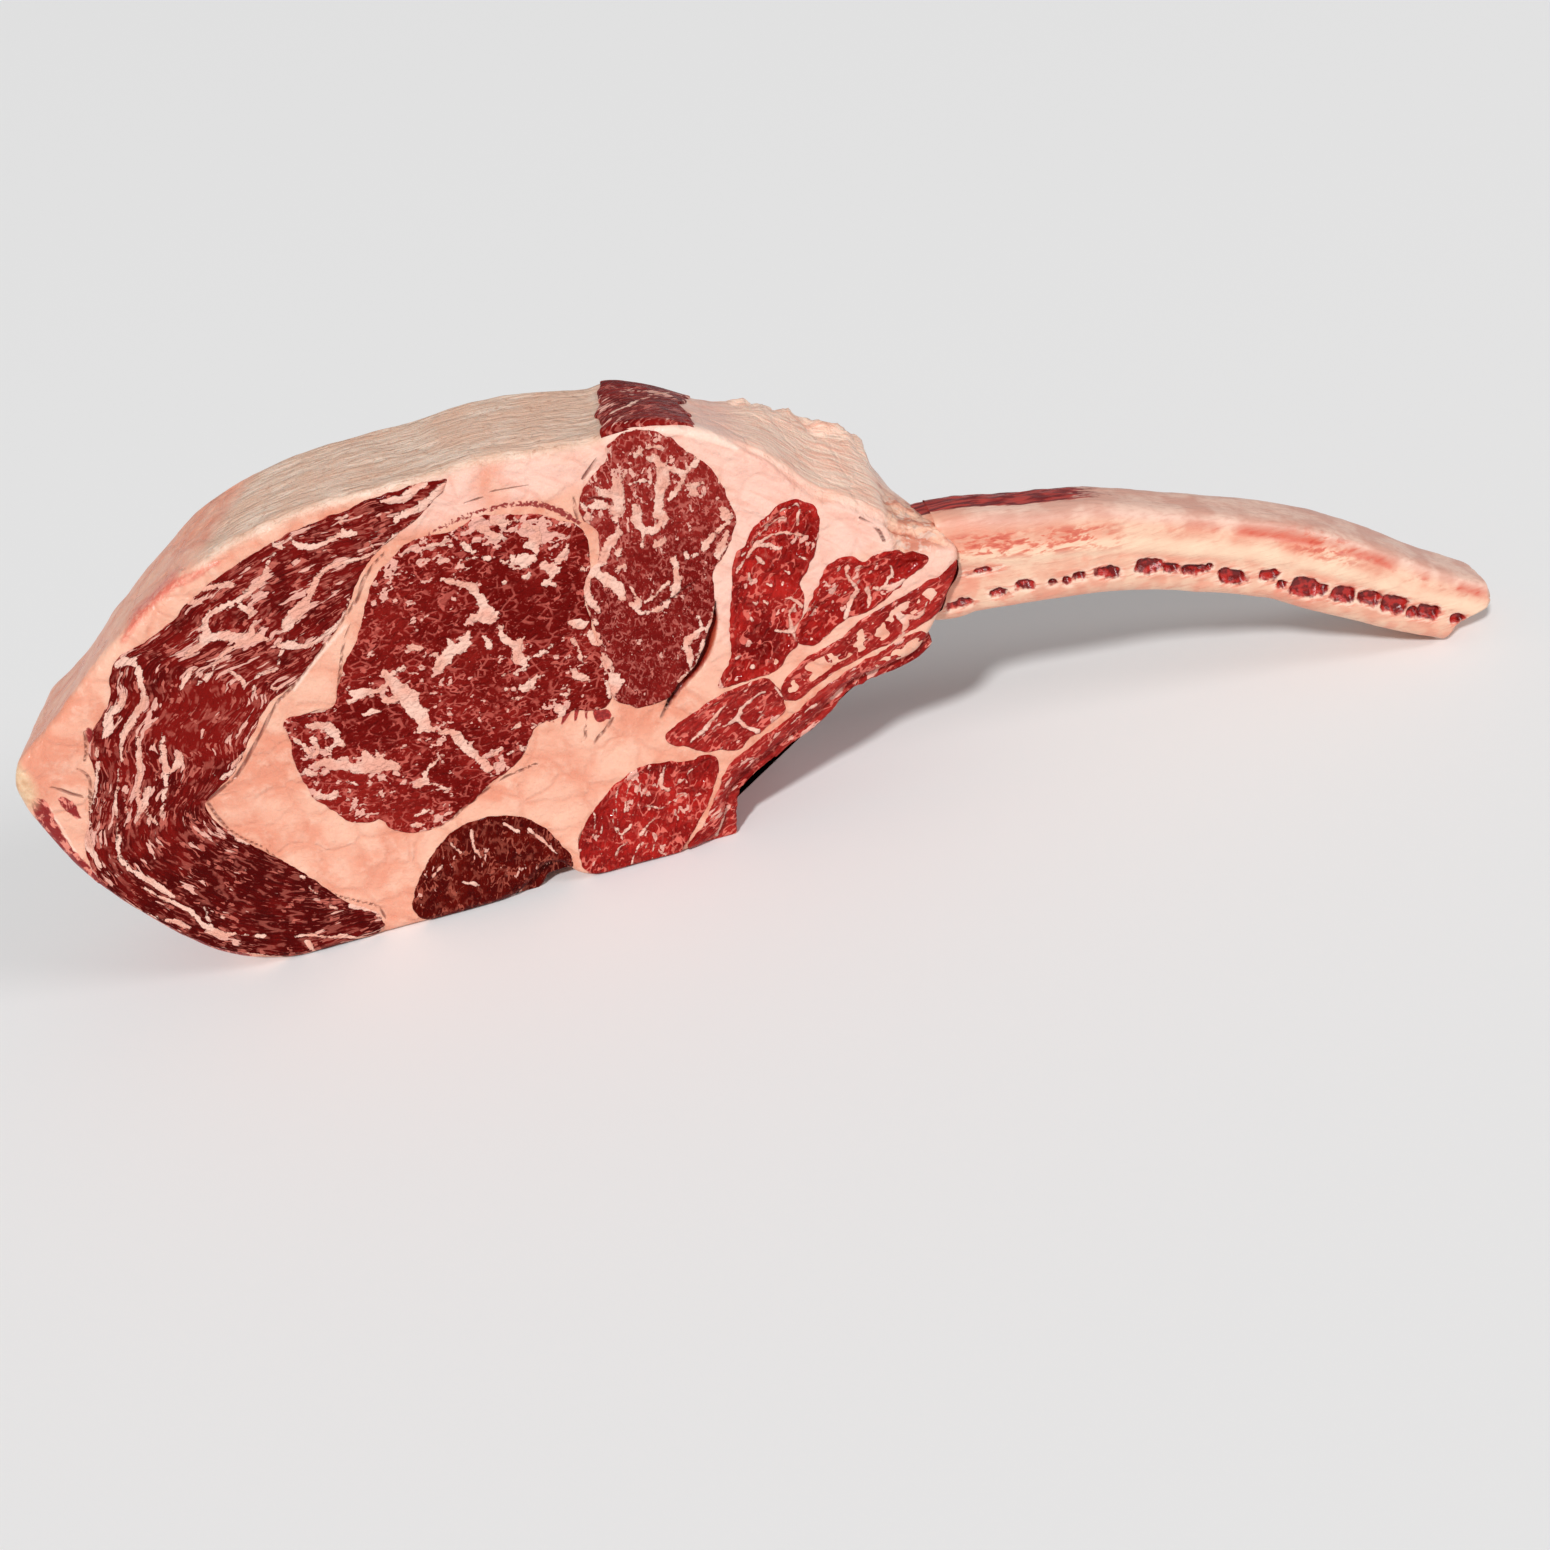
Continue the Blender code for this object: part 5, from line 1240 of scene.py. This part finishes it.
chain = muscle(
    "chain_muscle_look", CHAIN, (-132, 14), 260, 34, CHAIN_FAT, even(0.55), straight_grain(70),
    spine_end=(-118, 17), seed=39,
)
# Depths of the shallow muscles that lie over the rib
ON_FRONT, ON_BACK = (-FAT_FACE - PROUD, -FAT_FACE + 4), (FAT_FACE - 4, FAT_FACE + PROUD)
upper = muscle(
    "rib_muscle_upper_look", RIB_UPPER, (2, 72), 220, 16, RIB_UPPER_FAT, even(0.7), straight_grain(30),
    spine_end=(26, 82), seed=41, reach=ON_FRONT, relief=1.3, lump=3.2,
)
behind = muscle(
    "rib_muscle_back_look", [spot for spot in RIB_UPPER if spot[0] < 31.5], (2, 72), 220, 16, RIB_UPPER_FAT,
    even(0.7), straight_grain(30), spine_end=(26, 82), seed=45, reach=ON_BACK, relief=1.3, lump=3.2,
)
lower = muscle(
    "rib_muscle_lower_look", RIB_LOWER, (-8, 53), 280, 14, RIB_LOWER_FAT, even(0.6), straight_grain(24),
    spine_end=(36, 70), seed=43, reach=ON_FRONT, relief=0.6, lump=3.6,
)
for piece, look, nodes, slot in (
    (costal, RIB_LEAN, ("costal_muscle",), "bright_lean"),
    (strip, FINE_RIB_LEAN, ("strip_muscle",), "bright_lean"),
    (skirt, FINE_RIB_LEAN, ("skirt_muscle",), "bright_lean"),
    (flank, RIB_LEAN, ("flank_muscle",), "bright_lean"),
    (chain, CHAIN_LEAN, ("chain_muscle",), "dark_lean"),
    (upper, RIB_LEAN, ("rib_muscle_upper",), "bright_lean"),
    (behind, RIB_LEAN, ("rib_muscle_back",), "bright_lean"),
    (lower, FINE_RIB_LEAN, ("rib_muscle_lower",), "bright_lean"),
):
    piece.data.materials.append(look)
    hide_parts(*nodes)

# The end of the crown muscle on top of the steak, where the cap of fat was trimmed away
TOP = flowing(BODY, 660)
TOP_ENDS = (-51.5, -19.5)
on_top = (TOP[:, 0] > TOP_ENDS[0]) & (TOP[:, 0] < TOP_ENDS[1]) & (TOP[:, 1] > 100)
run = flowing(TOP[on_top], 90, closed=False)
normal = np.stack([-np.gradient(run[:, 1]), np.gradient(run[:, 0])], -1)
normal /= np.linalg.norm(normal, axis=1, keepdims=True)
turn = np.linspace(0.75, np.pi / 2, 11)
inset = np.concatenate([ROUNDING * (1 - np.sin(turn)), np.zeros(60), ROUNDING * (1 - np.sin(turn[::-1]))])
depth = np.concatenate([
    -FAT_FACE + ROUNDING * (1 - np.cos(turn)), np.linspace(-1, 1, 62)[1:-1] * (FAT_FACE - ROUNDING),
    FAT_FACE - ROUNDING * (1 - np.cos(turn[::-1])),
])
side = np.concatenate([np.sin(turn), np.ones(60), np.sin(turn[::-1])])
flat = run[None] - normal[None] * inset[:, None, None]
grid = np.stack([flat[..., 0], np.broadcast_to(depth[:, None], flat.shape[:2]), flat[..., 1]], -1)
facing = np.stack([
    normal[None, :, 0] * side[:, None], (np.sign(depth) * np.sqrt(1 - side**2))[:, None] * np.ones(len(run)),
    normal[None, :, 1] * side[:, None],
], -1)
rows, columns = grid.shape[:2]
border = np.minimum(
    np.minimum(np.arange(rows), np.arange(rows)[::-1])[:, None] * 0.8,
    np.minimum(np.arange(columns), np.arange(columns)[::-1])[None] * 0.4,
) + dapple(grid, 13, 51, 3) * 7.0 - 2.6
lift = 0.5 * smooth(border, 0, 1.6) - 1.9 * smooth(border, 1.0, -0.6)
proud = grid + facing * (lift + dapple(grid, 5, 52, 2) * 0.3)[..., None]
under = grid - facing * 2.2
closed = np.concatenate([proud, under[:, ::-1]], 1)
closed = set_back(closed)
closed[..., 1] = np.clip(closed[..., 1], -FACE, FACE)
poles = [row.mean(1, keepdims=True).repeat(closed.shape[1], 1) for row in (closed[:1], closed[-1:])]
closed = np.concatenate([poles[0], closed, poles[1]])
TOP_FAT = (((-46, -14, 0.3), (-40, -7, 0.5), (-35, 2, 0.2)), ((-33, 8, 0.2), (-29, 14, 0.5), (-27, 19, 0.2)))
over = closed[..., :2].reshape(-1, 2)
fields = {
    "laid": strokes(over, TOP_FAT).reshape(closed.shape[:2]),
    "fatty": 0.5 + 0 * closed[..., 0],
    "warm": 0.5 + 0 * closed[..., 0],
    "cleft": NONE_NEAR + 0 * closed[..., 0],
    "rim": 4 + 0 * closed[..., 0],
    "grain": np.stack([
        closed[..., 0] * 0.7 + closed[..., 1] * 0.7, closed[..., 2] * 0.3,
        closed[..., 0] * -0.7 + closed[..., 1] * 0.7,
    ], -1),
}
top_muscle = sheet("top_muscle_look", closed, fields)
TOP_LEAN = surface(
    "top_lean",
    lean_look(tint(92, 4, 4), tint(144, 24, 20), 3.6, 4.0, 0.5, tint(206, 110, 98), 0.8, 0.4),
    **WET,
)
top_muscle.data.materials.append(TOP_LEAN)
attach(top_muscle, "root")
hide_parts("top_muscle")

# The rib. A flat curved bone, scraped clean and sawn along its front, which opens its marrow cells. A thin
# pink membrane stays on its top, and shreds of red meat near the steak.

# Stations along the rib: x and z of its middle, half height, and the depths of its front and back
RIB = (
    (6, 66, 8, -9, 9), (20, 71, 11.5, -13, 10), (33, 74.4, 15.5, -19, 8), (42, 72.9, 19.1, -22, 5.5),
    (52, 73.2, 18.4, -23.5, 3.5), (70, 71.2, 16.9, -26.5, 2), (90, 68.2, 16.2, -27.5, 1.5),
    (110, 62.2, 14.7, -27.5, 2), (130, 54.8, 14.3, -27.5, 3), (150, 46.4, 14.2, -27.5, 4),
    (165, 37.6, 14.6, -27.5, 5), (180, 28.2, 14, -27.5, 5), (195, 18.5, 13, -27.5, 4),
    (208, 11, 12.2, -27, 3), (222, 3, 11.4, -25.5, 1),
)
# Marrow cells on the sawn face: x, z, half length and half height
CELLS = (
    (46.3, 60.8, 3.5, 1.5), (55, 71.4, 3.4, 0.8), (58.1, 62.2, 2.5, 1.4), (66.9, 63.2, 3.0, 1.5),
    (75.6, 61.9, 1.5, 1.2), (80, 61.5, 1.5, 1.4), (83.8, 62.1, 2.5, 1.4), (93.1, 61, 4.0, 1.8),
    (106.3, 59.1, 4.5, 2.5), (113.8, 56, 2.5, 1.5), (121.3, 53.5, 4.5, 1.7), (126.3, 52.7, 1.2, 1.2),
    (133.1, 47.2, 5.0, 2.5), (145, 44.1, 3.0, 2.0), (148.8, 39.7, 2.0, 1.5), (156.3, 36, 5.5, 3.4),
    (161.9, 33.5, 1.5, 2.0), (168.8, 29.7, 4.0, 2.9), (177.5, 26, 4.0, 2.5), (185.6, 21, 4.5, 3.3),
    (191.3, 16.6, 2.0, 2.0), (196.9, 14.7, 4.0, 2.8), (206.9, 9.1, 2.5, 1.8),
)
# Where the end was broken off, seen on the cut face
BROKEN = (
    (202.2, -1), (203, 0.6), (206.5, 6), (212, 8.2), (217.5, 9.9), (219.6, 12.5), (219.8, 18), (217.5, 23),
)
stations = flowing(RIB, 900, closed=False)
run = np.gradient(stations[:, :2], axis=0)
run /= np.linalg.norm(run, axis=1, keepdims=True)
arc = np.concatenate([[0], np.cumsum(np.linalg.norm(np.diff(stations[:, :2], axis=0), axis=1))])
last, way = stations[-1, :2], run[-1]
broken = np.array(BROKEN) - last
broken_level = broken @ [-way[1], way[0]]
broken_at = arc[-1] + broken @ way


def rib_place(at, level, depth):
    """A point of the rib: so far along its run, so far square to it, and this depth."""
    middle = np.stack([np.interp(at, arc, stations[:, k]) for k in (0, 1)], -1)
    up = np.stack([-np.interp(at, arc, run[:, 1]), np.interp(at, arc, run[:, 0])], -1)
    flat = middle + up * level[..., None]
    return np.stack([flat[..., 0], depth, flat[..., 1]], -1), up


across_count = 150
angle = np.linspace(0, 2 * np.pi, across_count, endpoint=False)
c, s = np.cos(angle), np.sin(angle)
power = np.where(c < 0, 5.0, 2.6)
size = (np.abs(c) ** power + np.abs(s) ** power) ** (-1 / power)
rows = 470
share = np.linspace(0, 1, rows)[:, None]
tip_height = np.interp(arc[-1] - 8, arc, stations[:, 2])
ends_at = np.interp(s * size * tip_height, broken_level, broken_at)[None]
at = np.where(share < 0.8, share / 0.8 * 190, 190 + (share - 0.8) / 0.2 * (ends_at - 190))
half_height, front, rear = (np.interp(at, arc, stations[:, k]) for k in (2, 3, 4))
near_end = np.sqrt(1 - 0.12 * smooth(at - ends_at, -1.6, 0) ** 2)
rise = (s * size)[None] * np.ones_like(at)
deep = (c * size)[None] * np.ones_like(at)
level = rise * half_height * near_end
depth = (front + rear) / 2 + deep * (rear - front) / 2 * near_end
grid, up = rib_place(at, level, depth)
x0 = np.interp(at, arc, stations[:, 0])
front_side = smooth(-deep, 0.55, 0.8)
pit = np.full(rise.shape, -9.0)
for x, z, half, tall in CELLS:
    k = np.argmin(np.hypot(stations[:, 0] - x, stations[:, 1] - z))
    away = (z - stations[k, 1]) * run[k, 0] - (x - stations[k, 0]) * run[k, 1]
    around = (np.abs((at - arc[k]) / half) ** 2.8 + np.abs((level - away) / tall) ** 2.8) ** (1 / 2.8)
    pit = np.maximum(pit, (1 - around) * min(half, tall))
pit = pit + dapple(grid, 2.4, 71, 2) * 0.8 + 0.4
pit = np.where(front_side > 0.5, pit, -9)
ridge = smooth(np.abs(level - 0.22 * half_height), 4.2, 0.8) * front_side
groove = smooth(np.abs(level - 0.72 * half_height), 2.6, 0.3) * front_side * smooth(x0, 96, 140)
upper_zone = smooth(rise, 0.62, 0.9) * smooth(x0, 40, 60)
fray = smooth(np.abs(level - 0.4 * half_height), 6, 2.5) * front_side
fray = fray * smooth(x0, 44, 50) * smooth(-x0, -106, -88)
blush = smooth(np.abs(level - 0.62 * half_height), 6, 2) * front_side * np.exp(-(((x0 - 160) / 11) ** 2))
fray = np.maximum(fray, blush)
shred = smooth(level, 6, 13) * smooth(-x0, -118, -60) * smooth(deep, -0.62, -0.2)
push = -2.6 * smooth(pit, -0.2, 1.4) + 0.5 * ridge - 0.9 * groove
push = push + dapple(grid * [0.4, 1, 1], 5, 72, 3) * 0.35 - 0.35
push = push + shred * (dapple(grid * [0.3, 1, 1], 2.6, 73, 3) * 0.8 - 0.1)
facing = np.stack([up[..., 0] * rise, np.sign(deep) * deep**2, up[..., 1] * rise], -1)
facing /= np.linalg.norm(facing, axis=-1, keepdims=True) + 1e-9
grid = grid + facing * push[..., None]
cap = []
for shrunk in (0.9, 0.72, 0.5, 0.26, 0.0):
    flat_level = level[-1] * shrunk
    over = np.interp(flat_level, broken_level, broken_at) + 0.3 * (1 - shrunk)
    middle_depth = (front[-1] + rear[-1]) / 2
    spot, _ = rib_place(over, flat_level, middle_depth.mean() + (depth[-1] - middle_depth) * shrunk)
    cap.append(spot if shrunk else spot.mean(0, keepdims=True).repeat(across_count, 0))
root = grid[:1].mean(1, keepdims=True).repeat(across_count, 1)
grid = np.concatenate([root, grid, np.array(cap)])
grid[..., 2] = np.maximum(grid[..., 2], 0.02)


def keep(field, first=0.0, last=None):
    """The field with rows for the root, the broken end and its pole."""
    last = field[-1:] if last is None else np.full_like(field[-1:], last)
    return np.concatenate([np.full_like(field[:1], first), field, last.repeat(5, 0)])


fields = {
    "pit": keep(pit, -9, -9),
    "bone_zones": np.stack([keep(ridge), keep(groove), keep(upper_zone)], -1),
    "shred": keep(shred),
    "fray": keep(fray),
}
rib = sheet("rib_bone_look", grid, fields)


def bone_look(flow):
    """Bone: pinkish ivory with fibres along it, red marrow cells, a red groove and a grey-pink membrane on
    top."""
    here = flow.units()
    run = here.stretched((0.16, 1, 1))
    ridge, groove, above = flow.parts("bone_zones")
    pit = flow.field("pit")
    shred = flow.field("shred")
    fibre = run.pushed(5, 0.8).noise(1.3, 4.0, 0.6)
    broad = here.noise(13, 3.0)
    colour = broad.step(0.36, 0.64).mix(tint(238, 196, 168), tint(226, 158, 132))
    colour = (fibre.step(0.5, 0.7) * 0.5).mix(colour, tint(214, 132, 108))
    colour = (here.noise(7, 3.0).step(0.5, 0.66) * 0.45).mix(colour, tint(232, 140, 114))
    colour = (ridge * here.noise(10, 3.0).step(0.25, 0.5) * 0.7).mix(colour, tint(246, 214, 184))
    skin = broad.step(0.4, 0.6).mix(tint(236, 196, 178), tint(218, 166, 148))
    skin = (fibre.step(0.4, 0.7) * 0.35).mix(skin, tint(204, 140, 122))
    colour = (above * 0.9).mix(colour, skin)
    stain = groove * here.noise(11, 3.0).step(0.36, 0.6) * (fibre * 0.9 + 0.3)
    colour = stain.mix(colour, tint(208, 88, 66))
    dash = here.stretched((0.35, 1, 1)).pushed(4, 1.6).noise(2.2, 3.0, 0.6)
    dashes = dash.step(0.5, 0.7).mix(tint(220, 112, 84), tint(192, 48, 36))
    colour = (flow.field("fray") * dash.step(0.46, 0.58) * 0.85).mix(colour, dashes)
    halo = (pit + (fibre - 0.5) * 1.2).step(-1.4, 0.0)
    colour = (halo * 0.6).mix(colour, fibre.step(0.44, 0.6).mix(tint(250, 222, 200), tint(228, 132, 110)))
    marrow = here.noise(2.2).step(0.4, 0.6).mix(tint(112, 8, 6), tint(180, 36, 28))
    colour = (pit + (here.noise(1.4, 3.0) - 0.5) * 1.2).step(-0.1, 0.5).mix(colour, marrow)
    meat = run.noise(1.5, 3.0).step(0.4, 0.6).mix(tint(112, 18, 20), tint(176, 60, 52))
    colour = (shred + (fibre - 0.5) * 0.9).step(0.35, 0.6).mix(colour, meat)
    height = fibre * 0.8 + here.noise(2.6, 3.0) * 0.4
    bump = flow.node("Bump", {0: 0.5, 1: 0.0009, "Height": height})
    return {"Base Color": colour, "Roughness": fibre * 0.2 + 0.34 - pit.step(-0.2, 0.6) * 0.2, "Normal": bump}


BONE = surface("bone_surface", bone_look, IOR=1.45, Coat_Weight=0.12, Coat_Roughness=0.25)
rib.data.materials.append(BONE)
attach(rib, "root")
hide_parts("rib_bone")

# The floor, the camera and the light: a plain pale floor, the camera that was fitted to the cut face in the
# photograph, and two far lamps under an even white sky.

floor = bpy.data.objects.new("floor", bpy.data.meshes.new("floor"))
floor.data.from_pydata([(-4, -4, 0), (4, -4, 0), (4, 4, 0), (-4, 4, 0)], [], [(0, 1, 2, 3)])
bpy.context.scene.collection.objects.link(floor)
pale = bpy.data.materials.new("pale_floor")
pale.use_nodes = True
pale.node_tree.nodes["Principled BSDF"].inputs["Base Color"].default_value = (0.86, 0.86, 0.86, 1)
pale.node_tree.nodes["Principled BSDF"].inputs["Roughness"].default_value = 0.7
floor.data.materials.append(pale)

PITCH, ROLL = np.radians(31.0), np.radians(15.2)
FOCAL, PICTURE = 2045, 1550  # focal length and width of the photograph, in its pixels
SENSOR = 36  # millimetres
CAMERA_AT = (-26.326, -605.844, 368.304)  # in units of the drawing
ahead = np.array([0, np.cos(PITCH), -np.sin(PITCH)])
level = np.array([1.0, 0, 0])
above = np.cross(level, ahead)
right = level * np.cos(ROLL) - above * np.sin(ROLL)
upwards = level * np.sin(ROLL) + above * np.cos(ROLL)
stand = (np.array(CAMERA_AT) + [MIDDLE, 0, 0]) * UNIT
view = bpy.data.cameras.new("camera")
view.lens = SENSOR * FOCAL / PICTURE
view.sensor_width = SENSOR
view.clip_start = 0.01
camera = bpy.data.objects.new("camera", view)
bpy.context.scene.collection.objects.link(camera)
axes = np.column_stack([right, upwards, -ahead, stand])
camera.matrix_world = Matrix(np.vstack([axes, [0, 0, 0, 1]]).tolist())
bpy.context.scene.camera = camera


def lamp(name, place, strength, spread):
    """A far lamp that shines from this place towards the steak, its disc this many degrees wide."""
    light = bpy.data.lights.new(name, "SUN")
    light.energy = strength
    light.angle = np.radians(spread)
    hung = bpy.data.objects.new(name, light)
    bpy.context.scene.collection.objects.link(hung)
    hung.location = place
    hung.rotation_euler = (-Vector(place)).to_track_quat("-Z", "Y").to_euler()


lamp("key", (-0.35, -0.9, 0.85), 2.36, 6)
lamp("side", (0.9, -0.5, 0.6), 0.75, 20)
world = bpy.data.worlds.new("studio")
world.use_nodes = True
world.node_tree.nodes["Background"].inputs["Color"].default_value = (1, 1, 1, 1)
world.node_tree.nodes["Background"].inputs["Strength"].default_value = 0.3
bpy.context.scene.world = world
bpy.context.scene.view_settings.view_transform = "Standard"
